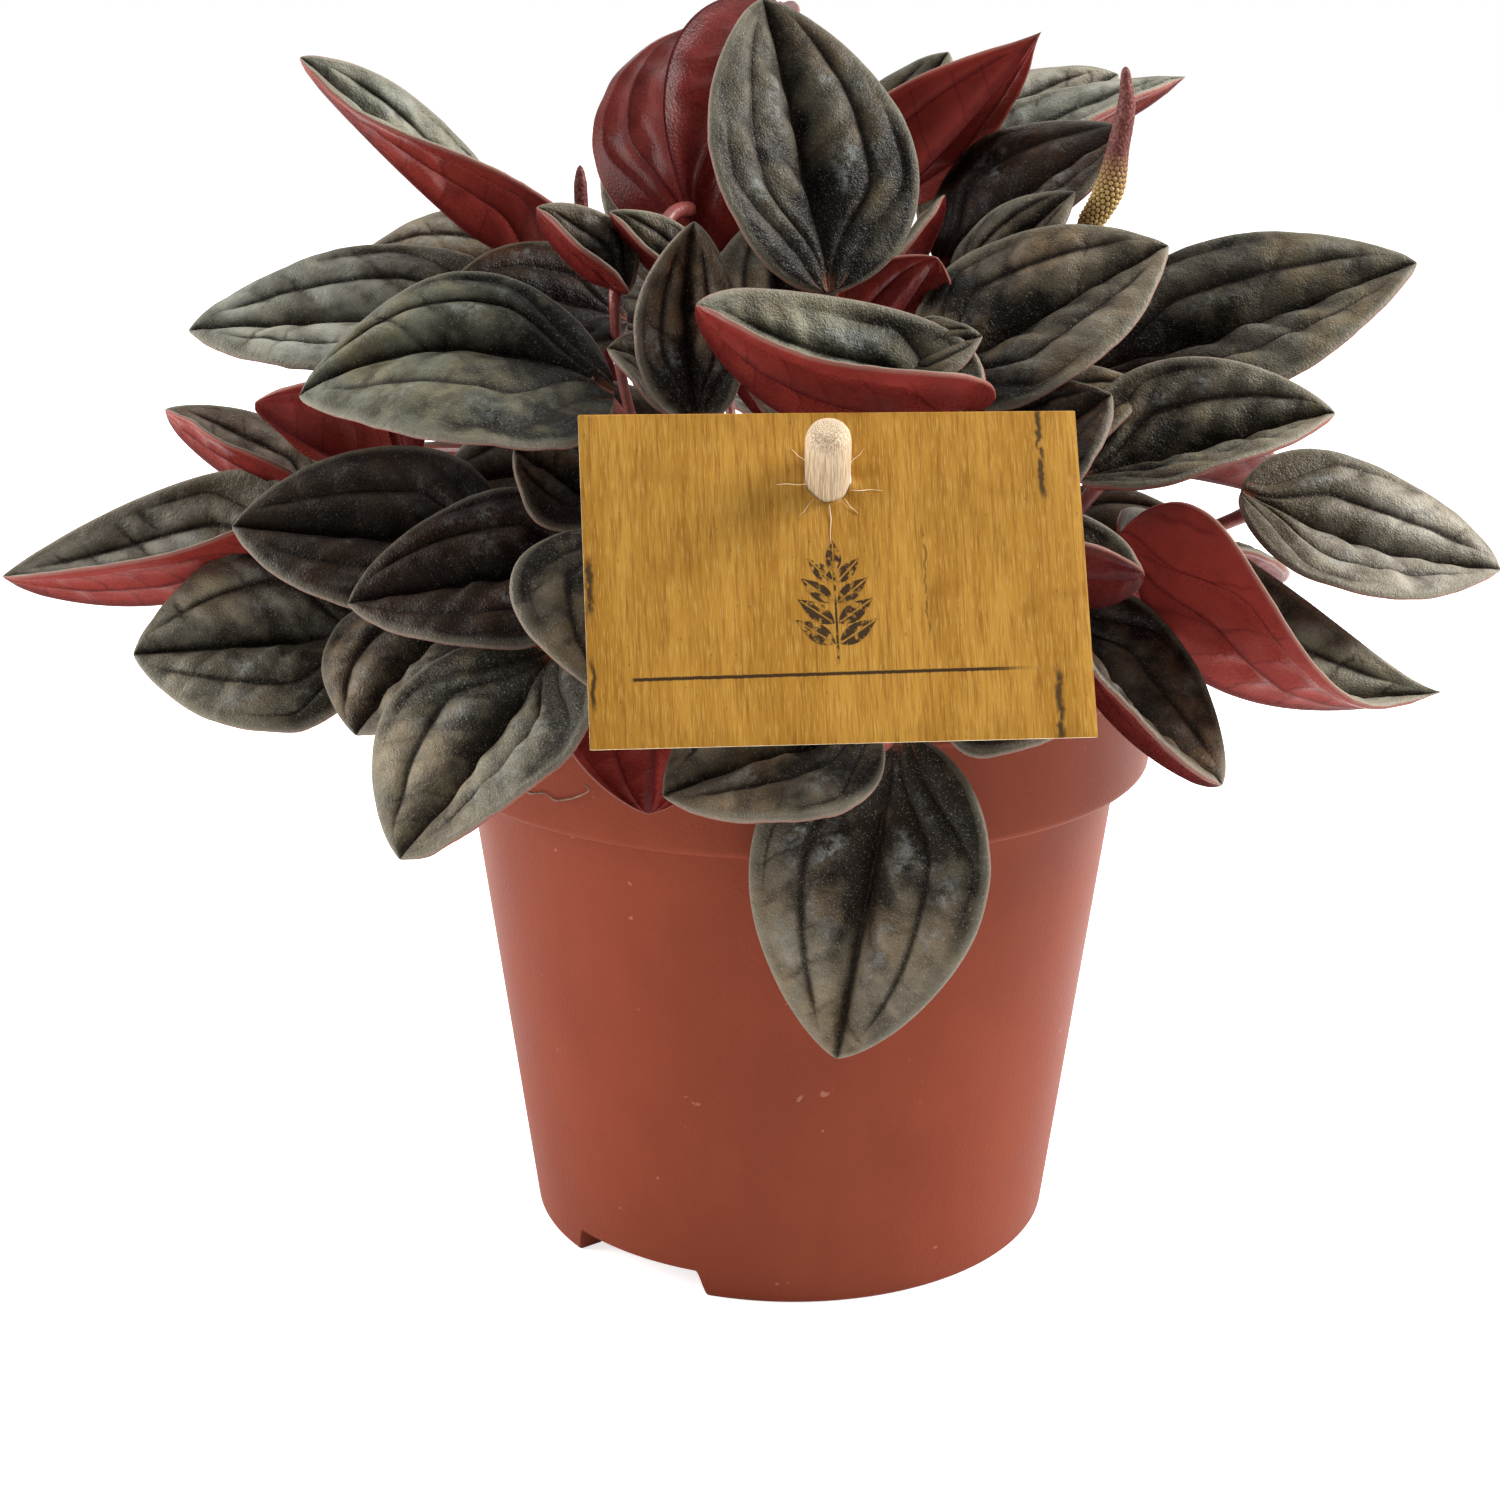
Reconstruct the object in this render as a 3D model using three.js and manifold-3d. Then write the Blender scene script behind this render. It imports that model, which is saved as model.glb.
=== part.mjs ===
// Ripple peperomia in its plastic nursery pot, with the plant label on its wooden stick.
//
// Millimetres, +Z up. The origin is the middle of the pot's underside, on the surface it stands on.
// The front of the plant, where the label is, faces -Y.
import * as THREE from "three";
import { mergeVertices } from "three/addons/utils/BufferGeometryUtils.js";
import Module from "manifold-3d";

const wasm = await Module();
wasm.setup();

// ---- Driving dimensions ----
const GAP = 0.35; // kept between neighbouring pieces

const POT_HEIGHT = 103;
const POT_FOOT_RADIUS = 45.8;
const POT_BODY_TOP_RADIUS = 56.4;
const POT_COLLAR_Z = 83.4; // underside of the wide collar below the rim
const POT_COLLAR_RADIUS = 61.5;
const POT_COLLAR_EDGE = 1.2; // rounding of the collar's lower edge
const POT_RIM_RADIUS = 62.4;
const POT_WALL = 1.1;
const POT_FLOOR_Z = 6; // underside of the raised floor
const POT_FLOOR_TOP = 7.2;
const POT_PAD_RADIUS = 12; // flat boss in the middle of the underside
const POT_FOOT_RING = 4.6; // radial width of the ring it stands on
const POT_SIDES = 40;
const DRAIN_HOLES = 8;
const DRAIN_HOLE_RADIUS = 3;
const DRAIN_HOLE_CIRCLE = 28;
const FOOT_NOTCH_HEIGHT = 4.6;
const FOOT_NOTCH_WIDTH = 26;
const FOOT_NOTCH_ANGLES = [-125, 55]; // degrees round the axis

const SOIL_EDGE_Z = 91;
const SOIL_MIDDLE_Z = 95;

const CROWN_RADIUS = 24;
const CROWN_ROOT_Z = 86;
const CROWN_TOP_Z = 105;

const CARD_WIDTH = 70;
const CARD_HEIGHT = 46.7;
const CARD_THICKNESS = 0.6;
const CARD_CENTRE = new THREE.Vector3(6.3, -81, 131.9);
const CARD_LEAN = 26.5; // degrees that the top leans back
const CARD_TURN = 0.8; // degrees that it hangs out of level
const CARD_SWING = 8.8; // degrees that its right end is turned to the back

const STICK_RADIUS = 3.2;
const STICK_FOOT = new THREE.Vector3(4.8, -28.7, 78);
const STICK_TOP = new THREE.Vector3(4.8, -79.8, 152.3);
const STICK_END_RADIUS = 1.9; // the upper end is rounded off to this
const STICK_END_LENGTH = 2.2;

const BLADE_THICKNESS = 1.3;
const PETIOLE_RADIUS = 1.5;
const PETIOLE_JOIN = 0.09; // where the petiole meets the blade, as a share of the blade's length
const BLADE_BASE_POWER = 0.5; // a blade's outline is s^0.5 (1-s)^0.78, widest at 0.39 of its length
const BLADE_TIP_POWER = 0.78;
const BLADE_STATIONS = [0.035, 0.16, 0.38, 0.64, 0.87]; // shares of the length with a row of points
const BLADE_COLUMNS = [-1, -0.5, 0, 0.5, 1]; // from the left edge over the midrib to the right edge
const FURROW_DEPTH = 0.5; // the midrib lies below the pleats beside it
const PLEAT_HEIGHT = 0.7;
const CUP_FOLD = 0.35; // degrees folded up at the midrib for each degree of cup
const CUP_CURL = 1.3; // degrees curled up from there to the edge for each degree of cup
const SMALL_BLADE_WIDTH = 24; // a blade narrower than this stands on a thinner petiole
const SMALL_PETIOLE = 0.7;
const PETIOLE_TAPER = 0.25; // share of its radius that a petiole loses on its way up

// One row a leaf: name, base and tip of the blade, width, roll about its length in degrees,
// arch of the midrib, cup in degrees (how far each half is folded up), sideways bend of the
// midrib, skew (how much wider the right half is than the left), and on some leaves the twist
// from base to tip in degrees and a tip power of its own, higher for a sharper tip.
const LEAVES = [
  // left side, from the top down
  ["leaf_01", [-40, 12, 161], [-79, -5, 199], 28, -20, 0, 36, 0, -0.22, 64, 0.72],
  ["leaf_02", [-45, 30, 159.5], [-78, 30, 163], 26, -40, 2, 8, 0, 0],
  ["leaf_03", [-46, 0, 159], [-99, -8, 156], 32, -34, 1, 5, 0, 0],
  ["leaf_04", [-27, -42, 151], [-74, -45, 151], 38, -38, 7, 12, 5, -0.35],
  ["leaf_05", [-79, 0, 126], [-107, 5, 141], 26, -2, -2, 35, 0, 0],
  ["leaf_06", [-62, -17, 135], [-85, -25, 147], 34, 32, 0, 15, 0, 0],
  ["leaf_07", [-80, -10, 124], [-130, -18, 117], 36, -14, -6, 44, 0, 0, 0, 0.9],
  ["leaf_08", [-44, -40, 127.5], [-86, -42, 130.5], 33, -40, 1, 6, 0, 0],
  ["leaf_09", [-68, -25, 109], [-106, -30, 107], 36, -46, 2, 6, 0, 0],
  ["leaf_10", [-26, -52, 128], [-66, -57, 122], 31, -36, 1.5, 6, 0, 0],
  ["leaf_11", [-52, -34, 115], [-67, -50, 99.5], 39, 0, 2, 5, 0, 0],
  ["leaf_12", [-34.5, -65, 116.5], [-55, -86, 92], 40, 0, 1, 10, 0, 0],
  // front, round the label and over the rim
  ["leaf_13", [-25, -63, 135], [-22, -82, 113], 33, 0, 2, 8, 0, 0],
  ["leaf_14", [-20, -60, 117], [-21, -68, 93], 29, 160, 0, 10, 0, 0],
  ["leaf_15", [12, -76, 109], [-18, -84, 101], 32, -28, 2, 8, 0, 0],
  ["leaf_16", [16, -65, 105], [7, -70, 55], 36, -46, 3, 8, 0, 0],
  ["leaf_17", [22, -61, 112], [43.5, -67, 109.5], 24, 41, 1, 8, 0, 0.1],
  // top
  ["leaf_18", [-15, 8, 167], [-3, 46, 207], 38, 168, -14, 14, 5, 0, 0, 0.65],
  ["leaf_19", [-13, 28, 160], [-33, 28, 182], 22, -60, 0, 5, 0, 0],
  ["leaf_20", [5, -42, 166], [-5, -22, 208], 34, 0, 3, 12, 0, 0],
  ["leaf_21", [6, 30, 170], [27, 40, 199], 28, 20, 0, 5, 0, 0],
  ["leaf_22", [12, 15, 173], [39, -5, 203], 27, -28, 0, 18, 0, 0, 0, 1.15],
  ["leaf_23", [28, 42, 173], [58, 48, 195], 30, 35, 2, 8, 0, 0],
  ["leaf_24", [23, 30, 168], [68, 34, 195], 35, 10, 2, 22, 0, 0, 0, 1],
  ["leaf_25", [24, -2, 165], [54.5, -2, 187.5], 31, 28, 3, 6, 0, -0.15],
  ["leaf_26", [26, -18, 163], [44, -16, 179], 14, 40, 1, 10, 0, 0],
  // right side, from the top down
  ["leaf_27", [20, -35, 151], [57, -30, 172], 32, 38, 2, 8, 0, 0],
  ["leaf_28", [47, 0, 147], [101, -5, 167], 39, 34, 3, 8, 2.5, 0],
  ["leaf_29", [45, -30, 136], [84, -30, 146.5], 31, 30, 1, 28, 0, 0],
  ["leaf_30", [28, -50, 139], [47, -48, 152], 24, 35, 1, 8, 0, 0],
  ["leaf_31", [73, -14, 131], [114, -22, 120], 32, 30, 1, 12, 4, 0],
  ["leaf_32", [50, -42, 130], [102, -38, 104], 46, 10, -11, 38, 0, 0, -56, 1.2],
  ["leaf_33", [34, -60, 130], [51, -62, 128], 26, 0, -3, 45, 0, 0],
  ["leaf_34", [40.5, -50, 121], [64, -62, 96], 34, 0, -3, 26, 0, 0],
  // middle, above the label
  ["leaf_35", [-26, -22, 164], [-40, -22, 177], 18, -20, -1, 38, 0, 0],
  ["leaf_36", [-14, -45, 147], [-15, -36, 176], 17, 0, 1, 15, -1.5, 0],
  ["leaf_37", [28, -52, 151], [-14, -56, 166], 39, -16, -8, 44, 0, -0.05, 12],
  ["leaf_38", [-27, -11, 158], [-55, -17, 164], 28, -30, 2, 6, 0, 0],
  // back, the outer ring, the ring above it, and the ones hanging over the rim
  ["leaf_39", [0, 62, 128], [3, 108, 116], 37, 5, 5, 10, 0, 0],
  ["leaf_40", [30, 60, 126], [56, 98, 112], 36, -10, 4, 12, 0, 0],
  ["leaf_41", [-30, 60, 127], [-54, 100, 114], 36, 10, 4, 8, 0, 0],
  ["leaf_42", [54, 42, 128], [94, 66, 116], 36, 0, 3, 20, 0, 0],
  ["leaf_43", [-46, 40, 128], [-88, 62, 114], 36, 0, 3, 14, 0, 0],
  ["leaf_44", [62, 30, 114], [92, 52, 100], 34, 8, 3, 12, 0, 0],
  ["leaf_45", [-70, 22, 118], [-108, 34, 106], 34, -8, 3, 10, 0, 0],
  ["leaf_46", [2, 42, 158], [6, 88, 162], 36, 0, 4, 15, 0, 0],
  ["leaf_47", [34, 38, 152], [68, 72, 154], 35, 5, 4, 10, 0, 0],
  ["leaf_48", [-26, 44, 152], [-52, 82, 154], 35, -5, 4, 12, 0, 0],
  ["leaf_49", [54, 24, 142], [92, 36, 144], 34, 10, 3, 8, 0, 0],
  ["leaf_50", [-54, 24, 140], [-90, 36, 140], 34, -8, 3, 10, 0, 0],
  ["leaf_51", [14, 70, 106], [22, 96, 80], 33, 0, 3, 8, 0, 0],
  ["leaf_52", [-21, 67, 107], [-36, 90, 82], 33, 0, 3, 8, 0, 0],
  ["leaf_53", [50, 46, 108], [68, 64, 84], 33, 0, 3, 8, 0, 0],
];

// The youngest leaves, still part of the crown that they grow from.
const YOUNG_LEAVES = [
  ["young_1", [-16, -20, 163], [-29, -18, 176], 15, -20, 0, 38, 0, 0],
  ["young_2", [16, -43, 155], [28, -44, 160], 13, 40, 1, 5, 0, 0],
  ["young_3", [0, -34, 144], [-10, -42, 156], 16, -30, 0, 5, 0, 0],
  ["young_4", [11, -20, 152], [22, -28, 170], 20, -60, 0, 10, 0, 0],
  ["young_5", [-15, -25, 147], [-29, -28, 156], 22, -30, 2, 6, 0, 0],
  ["young_6", [-29, -45, 134], [-42, -45, 143], 20, -40, 1, 6, 0, 0],
  ["young_7", [-18, -18, 140], [-57, -24, 133], 30, -40, 1, 6, 0, 0],
  ["young_8", [12, -5, 153], [24, -9, 178], 26, 10, 1, 6, 0, 0],
  ["young_9", [30, -18, 138], [56, -22, 149], 24, 35, 1, 6, 0, 0],
  ["young_10", [-12, 6, 148], [-36, 0, 160], 24, -30, 1, 6, 0, 0],
  ["young_11", [36, -14, 120], [64, -18, 127], 24, 30, 1, 6, 0, 0],
  ["young_12", [-2, 4, 150], [-4, 10, 174], 26, 0, 1, 6, 0, 0],
];

// Flower spikes: points up the middle of the stalk and the spike, each with its radius.
const FLOWER_SPIKES = [
  [
    "flower_spike_right",
    [
      [12, 2, 98, 1.2],
      [30, 0, 130, 1.1],
      [40.5, -14, 160, 1],
      [45.3, -15, 172.6, 1],
      [46.6, -15, 174.2, 1.75],
      [49.5, -15, 179.4, 2.1],
      [50.6, -15, 185.6, 1.75],
      [51.6, -15, 192, 1.4],
      [51.2, -15, 197.9, 0.6],
    ],
  ],
  [
    "flower_spike_left",
    [
      [-10, 3, 98, 1.1],
      [-24, 3, 130, 1.0],
      [-33, 0, 158, 0.9],
      [-34.5, 0, 170, 0.9],
      [-34.7, 0, 172, 1.2],
      [-35, 0, 179, 1.1],
      [-35, 0, 182, 0.5],
    ],
  ],
];

const MATERIALS = {
  pot: new THREE.MeshStandardMaterial({ color: 0xa8502f, roughness: 0.45, metalness: 0 }),
  soil: new THREE.MeshStandardMaterial({ color: 0x33251c, roughness: 0.95, metalness: 0 }),
  crown: new THREE.MeshStandardMaterial({ color: 0x6b3a30, roughness: 0.6, metalness: 0 }),
  leaf: new THREE.MeshStandardMaterial({ color: 0x60645a, roughness: 0.5, metalness: 0 }),
  spike: new THREE.MeshStandardMaterial({ color: 0x8c4b4a, roughness: 0.6, metalness: 0 }),
  card: new THREE.MeshStandardMaterial({ color: 0xc8963c, roughness: 0.5, metalness: 0 }),
  stick: new THREE.MeshStandardMaterial({ color: 0xe1c8a5, roughness: 0.7, metalness: 0 }),
};

const part = new THREE.Group();
part.name = "ripple_peperomia";

// ---- Joining and cutting ----
function solidOf(geometry) {
  const bare = geometry.clone();
  bare.deleteAttribute("normal");
  bare.deleteAttribute("uv");
  const merged = mergeVertices(bare, 1e-4);
  return new wasm.Manifold(
    new wasm.Mesh({
      numProp: 3,
      vertProperties: new Float32Array(merged.attributes.position.array),
      triVerts: new Uint32Array(merged.index.array),
    }),
  );
}

function geometryOf(solid) {
  const mesh = solid.getMesh();
  const geometry = new THREE.BufferGeometry();
  geometry.setAttribute("position", new THREE.BufferAttribute(mesh.vertProperties, 3));
  geometry.setIndex(new THREE.BufferAttribute(mesh.triVerts, 1));
  geometry.computeVertexNormals();
  return geometry;
}

function largestBody(solid) {
  const bodies = solid.decompose();
  bodies.sort((a, b) => b.volume() - a.volume());
  return bodies[0];
}

function addPiece(name, solid, material) {
  const mesh = new THREE.Mesh(geometryOf(solid), material);
  mesh.name = name;
  part.add(mesh);
}

// A closed shape from rows of points, each row a closed ring, with a point at each end. Each
// four-sided facet is split along its shorter diagonal, so a twisted blade's two faces bend alike.
function skinOf(start, rings, end) {
  const points = [start, ...rings.flat(), end];
  const count = rings[0].length;
  const last = points.length - 1;
  const index = [];
  const at = (ring, k) => 1 + ring * count + (k % count);
  for (let k = 0; k < count; k++) {
    index.push(0, at(0, k + 1), at(0, k));
    index.push(last, at(rings.length - 1, k), at(rings.length - 1, k + 1));
    for (let r = 0; r + 1 < rings.length; r++) {
      const [a, b, c, d] = [at(r, k), at(r, k + 1), at(r + 1, k + 1), at(r + 1, k)];
      const split = points[a].distanceTo(points[c]) < points[b].distanceTo(points[d]);
      index.push(...(split ? [a, b, c, a, c, d] : [a, b, d, b, c, d]));
    }
  }
  const geometry = new THREE.BufferGeometry().setFromPoints(points);
  geometry.setIndex(index);
  return geometry;
}

// A round stem along a curve, with its radius given by a function of the share of its length.
function stemOf(curve, steps, sides, radiusAt) {
  const frames = curve.computeFrenetFrames(steps, false);
  const rings = [];
  for (let i = 0; i <= steps; i++) {
    const centre = curve.getPointAt(i / steps);
    const radius = radiusAt(i / steps);
    const ring = [];
    for (let k = 0; k < sides; k++) {
      const angle = (2 * Math.PI * k) / sides;
      ring.push(
        centre
          .clone()
          .addScaledVector(frames.normals[i], radius * Math.cos(angle))
          .addScaledVector(frames.binormals[i], radius * Math.sin(angle)),
      );
    }
    rings.push(ring);
  }
  return skinOf(curve.getPointAt(0), rings, curve.getPointAt(1));
}

// ---- Pot: one thin moulded wall with a collar, a notched foot and a drained floor ----
const footInner = POT_FOOT_RADIUS - POT_FOOT_RING;
const potProfile = [
  [0, 0],
  [POT_PAD_RADIUS, 0],
  [POT_PAD_RADIUS + 1, POT_FLOOR_Z],
  [footInner - 1, POT_FLOOR_Z],
  [footInner, 0],
  [POT_FOOT_RADIUS - 0.5, 0],
  [POT_FOOT_RADIUS, 0.6],
  [POT_BODY_TOP_RADIUS, POT_COLLAR_Z - 0.4],
  [POT_COLLAR_RADIUS - POT_COLLAR_EDGE, POT_COLLAR_Z],
  [POT_COLLAR_RADIUS, POT_COLLAR_Z + POT_COLLAR_EDGE],
  [POT_RIM_RADIUS - 0.5, POT_HEIGHT - 1.6],
  [POT_RIM_RADIUS, POT_HEIGHT - 1],
  [POT_RIM_RADIUS - 0.3, POT_HEIGHT],
  [POT_RIM_RADIUS - 0.5 - POT_WALL, POT_HEIGHT],
  [POT_COLLAR_RADIUS - POT_WALL, POT_COLLAR_Z + 2],
  [POT_COLLAR_RADIUS - POT_COLLAR_EDGE - POT_WALL, POT_COLLAR_Z + POT_WALL],
  [POT_BODY_TOP_RADIUS - POT_WALL, POT_COLLAR_Z + 0.7],
  [POT_FOOT_RADIUS + 0.6 - POT_WALL, POT_FLOOR_TOP],
  [0, POT_FLOOR_TOP],
].map(([r, z]) => new THREE.Vector2(r, z));

let pot = solidOf(new THREE.LatheGeometry(potProfile, POT_SIDES).rotateX(Math.PI / 2));
for (let k = 0; k < DRAIN_HOLES; k++) {
  const angle = (2 * Math.PI * k) / DRAIN_HOLES;
  const hole = new THREE.CylinderGeometry(DRAIN_HOLE_RADIUS, DRAIN_HOLE_RADIUS, 4, 12);
  hole.rotateX(Math.PI / 2);
  hole.translate(
    DRAIN_HOLE_CIRCLE * Math.cos(angle),
    DRAIN_HOLE_CIRCLE * Math.sin(angle),
    (POT_FLOOR_Z + POT_FLOOR_TOP) / 2,
  );
  pot = pot.subtract(solidOf(hole));
}
for (const degrees of FOOT_NOTCH_ANGLES) {
  const notch = new THREE.BoxGeometry(8, FOOT_NOTCH_WIDTH, 2 * FOOT_NOTCH_HEIGHT);
  notch.translate(POT_FOOT_RADIUS - 0.5, 0, 0);
  notch.rotateZ(THREE.MathUtils.degToRad(degrees));
  pot = pot.subtract(solidOf(notch));
}
addPiece("nursery_pot", pot, MATERIALS.pot);

// ---- Label: a card hung on a wooden stick that goes through its hole ----
const stickAxis = STICK_TOP.clone().sub(STICK_FOOT);
const stickTurn = new THREE.Quaternion().setFromUnitVectors(
  new THREE.Vector3(0, 1, 0),
  stickAxis.clone().normalize(),
);

function stickShape(clearance) {
  const radius = STICK_RADIUS + clearance;
  const length = stickAxis.length();
  const profile = [
    [0, -clearance],
    [radius, -clearance],
    [radius, length - STICK_END_LENGTH],
    [STICK_END_RADIUS + clearance, length + clearance],
    [0, length + clearance],
  ];
  const rod = new THREE.LatheGeometry(profile.map((corner) => new THREE.Vector2(...corner)), 20);
  rod.applyQuaternion(stickTurn);
  rod.translate(...STICK_FOOT.toArray());
  return solidOf(rod);
}
addPiece("label_stick", stickShape(0), MATERIALS.stick);
const stickRoom = stickShape(GAP);

function cardShape(clearance) {
  const card = new THREE.BoxGeometry(
    CARD_WIDTH + 2 * clearance,
    CARD_THICKNESS + 2 * clearance,
    CARD_HEIGHT + 2 * clearance,
  );
  card.rotateY(THREE.MathUtils.degToRad(CARD_TURN));
  card.rotateX(THREE.MathUtils.degToRad(-CARD_LEAN));
  card.rotateZ(THREE.MathUtils.degToRad(CARD_SWING));
  card.translate(...CARD_CENTRE.toArray());
  return solidOf(card);
}
addPiece("label_card", cardShape(0).subtract(stickRoom), MATERIALS.card);
const cardRoom = cardShape(GAP);

// ---- Leaves: a pleated blade on a round petiole that rises from the crown ----
// The blade's own directions: along it, out of its upper face, and to its right.
function bladeFrame(row) {
  const base = new THREE.Vector3(...row[1]);
  const tip = new THREE.Vector3(...row[2]);
  const along = tip.clone().sub(base).normalize();
  const up = new THREE.Vector3(0, 0, 1).addScaledVector(along, -along.z).normalize();
  up.applyAxisAngle(along, THREE.MathUtils.degToRad(row[4]));
  const right = along.clone().cross(up);
  return { base, tip, along, up, right, length: base.distanceTo(tip) };
}

function outlineAt(s, tipPower) {
  const peak = BLADE_BASE_POWER / (BLADE_BASE_POWER + tipPower);
  const shape = (x) => x ** BLADE_BASE_POWER * (1 - x) ** tipPower;
  return shape(s) / shape(peak);
}

// How far the blade is turned about its length at s, half the twist each way from its middle.
function twistAt(row, s) {
  const twist = row[9] ?? 0;
  return THREE.MathUtils.degToRad(twist * (0.5 - s));
}

// A point of the blade's middle surface: s from base to tip, t from left edge to right edge.
function bladePoint(row, frame, s, t, extraWidth) {
  const [, , , width, , arch, cup, bend, skew, , tipPower = BLADE_TIP_POWER] = row;
  const hump = 4 * s * (1 - s);
  const half = (width / 2) * outlineAt(s, tipPower) * (1 + skew * Math.sign(t)) + extraWidth;
  const fold = THREE.MathUtils.degToRad(CUP_FOLD * cup);
  const curl = THREE.MathUtils.degToRad(CUP_CURL * cup) + 1e-6; // never a bare zero
  const across = (half * Math.sin(curl * Math.abs(t))) / curl;
  const rise = (half * (1 - Math.cos(curl * Math.abs(t)))) / curl;
  const sideways = (across * Math.cos(fold) - rise * Math.sin(fold)) * Math.sign(t);
  const puff = PLEAT_HEIGHT * (1 - Math.abs(2 * Math.abs(t) - 1));
  const pleat = (t === 0 ? -FURROW_DEPTH : puff) * hump;
  const lift = across * Math.sin(fold) + rise * Math.cos(fold) + pleat;
  const turned = new THREE.Vector3()
    .addScaledVector(frame.right, sideways)
    .addScaledVector(frame.up, lift)
    .applyAxisAngle(frame.along, twistAt(row, s));
  return frame.base
    .clone()
    .addScaledVector(frame.along, frame.length * s)
    .addScaledVector(frame.up, arch * hump)
    .addScaledVector(frame.right, bend * hump)
    .add(turned);
}

function bladeShape(row, frame, clearance) {
  const rings = BLADE_STATIONS.map((s) => {
    const upper = [];
    const lower = [];
    const up = frame.up.clone().applyAxisAngle(frame.along, twistAt(row, s));
    for (const t of BLADE_COLUMNS) {
      const middle = bladePoint(row, frame, s, t, clearance);
      const edge = Math.abs(t) === 1;
      const half = edge ? clearance : (BLADE_THICKNESS / 2) * (1 - t * t) + clearance;
      upper.push(middle.clone().addScaledVector(up, half));
      if (!edge || clearance > 0) lower.push(middle.clone().addScaledVector(up, -half));
    }
    return [...upper, ...lower.reverse()];
  });
  const start = bladePoint(row, frame, 0, 0, 0).addScaledVector(frame.along, -clearance);
  const end = bladePoint(row, frame, 1, 0, 0).addScaledVector(frame.along, clearance);
  return skinOf(start, rings, end);
}

// The petiole leaves the crown below the blade, further out for a blade further from the middle.
function petioleCurve(row, frame) {
  const join = bladePoint(row, frame, PETIOLE_JOIN, 0, 0).addScaledVector(frame.up, -0.2);
  const outward = new THREE.Vector3(join.x, join.y, 0);
  const reach = outward.length();
  outward.normalize();
  const start = outward.clone();
  start.multiplyScalar(THREE.MathUtils.clamp(0.3 * reach, 3, CROWN_RADIUS - 4));
  start.z = CROWN_TOP_Z - 8;
  const span = start.distanceTo(join);
  const rise = new THREE.Vector3(0, 0, 1).addScaledVector(outward, 0.012 * reach).normalize();
  const arrive = frame.along.clone().multiplyScalar(0.6).addScaledVector(frame.up, 0.8).normalize();
  return new THREE.CubicBezierCurve3(
    start,
    start.clone().addScaledVector(rise, 0.4 * span),
    join.clone().addScaledVector(arrive, -0.35 * span),
    join,
  );
}

function leafShape(row, clearance) {
  const frame = bladeFrame(row);
  const blade = solidOf(bladeShape(row, frame, clearance));
  const thin = row[3] < SMALL_BLADE_WIDTH ? SMALL_PETIOLE : 1;
  const radiusAt = (u) => (1 - PETIOLE_TAPER * u) * PETIOLE_RADIUS * thin + clearance;
  const stem = stemOf(petioleCurve(row, frame), 7, 5, radiusAt);
  return blade.add(solidOf(stem));
}

// ---- Crown: the clump of short stems in the soil, with the youngest leaves still on it ----
function crownShape(clearance) {
  const profile = [
    [0, CROWN_ROOT_Z - clearance],
    [CROWN_RADIUS - 6 + clearance, CROWN_ROOT_Z - clearance],
    [CROWN_RADIUS + clearance, CROWN_TOP_Z - 10],
    [CROWN_RADIUS - 3 + clearance, CROWN_TOP_Z - 5 + clearance],
    [CROWN_RADIUS - 11 + clearance, CROWN_TOP_Z - 1.5 + clearance],
    [0, CROWN_TOP_Z + clearance],
  ].map(([r, z]) => new THREE.Vector2(r, z));
  return solidOf(new THREE.LatheGeometry(profile, 24).rotateX(Math.PI / 2));
}
const crownRoom = crownShape(GAP);

// ---- Soil: fills the pot to a little below its rim ----
const soilWall = POT_WALL + GAP + 0.1;
const soilProfile = [
  [0, POT_FLOOR_TOP + GAP],
  [POT_FOOT_RADIUS + 0.5 - soilWall, POT_FLOOR_TOP + GAP],
  [POT_BODY_TOP_RADIUS - soilWall, POT_COLLAR_Z + 1.2],
  [POT_COLLAR_RADIUS - POT_COLLAR_EDGE - soilWall, POT_COLLAR_Z + POT_WALL + GAP + 0.1],
  [POT_COLLAR_RADIUS - soilWall, POT_COLLAR_Z + 2.7],
  [POT_COLLAR_RADIUS - soilWall, SOIL_EDGE_Z],
  [POT_COLLAR_RADIUS - 14, SOIL_EDGE_Z + 1.5],
  [30, SOIL_MIDDLE_Z - 1],
  [0, SOIL_MIDDLE_Z],
].map(([r, z]) => new THREE.Vector2(r, z));
const soil = solidOf(new THREE.LatheGeometry(soilProfile, POT_SIDES).rotateX(Math.PI / 2));
addPiece("potting_soil", soil.subtract(crownRoom).subtract(stickRoom), MATERIALS.soil);

// ---- The plant: each piece gives way to the ones placed before it ----
function drum(lowRadius, highRadius, bottom, top) {
  const drumHeight = top - bottom;
  const shape = new THREE.CylinderGeometry(highRadius, lowRadius, drumHeight, POT_SIDES);
  shape.rotateX(Math.PI / 2);
  shape.translate(0, 0, bottom + drumHeight / 2);
  return solidOf(shape);
}
const potRoom = drum(POT_FOOT_RADIUS + GAP, POT_RIM_RADIUS + GAP, -GAP, POT_HEIGHT + GAP).subtract(
  drum(POT_RIM_RADIUS - 3, POT_RIM_RADIUS - 3, SOIL_EDGE_Z + 2, POT_HEIGHT + 20),
);
const placed = [stickRoom, cardRoom, crownRoom, potRoom];

function place(name, solid, room, material) {
  const box = solid.boundingBox();
  let trimmed = solid;
  for (const other of placed) {
    const near = other.boundingBox();
    const apart = [0, 1, 2].some((i) => near.min[i] > box.max[i] || near.max[i] < box.min[i]);
    if (!apart) trimmed = trimmed.subtract(other);
  }
  addPiece(name, largestBody(trimmed), material);
  placed.push(room);
}

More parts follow.
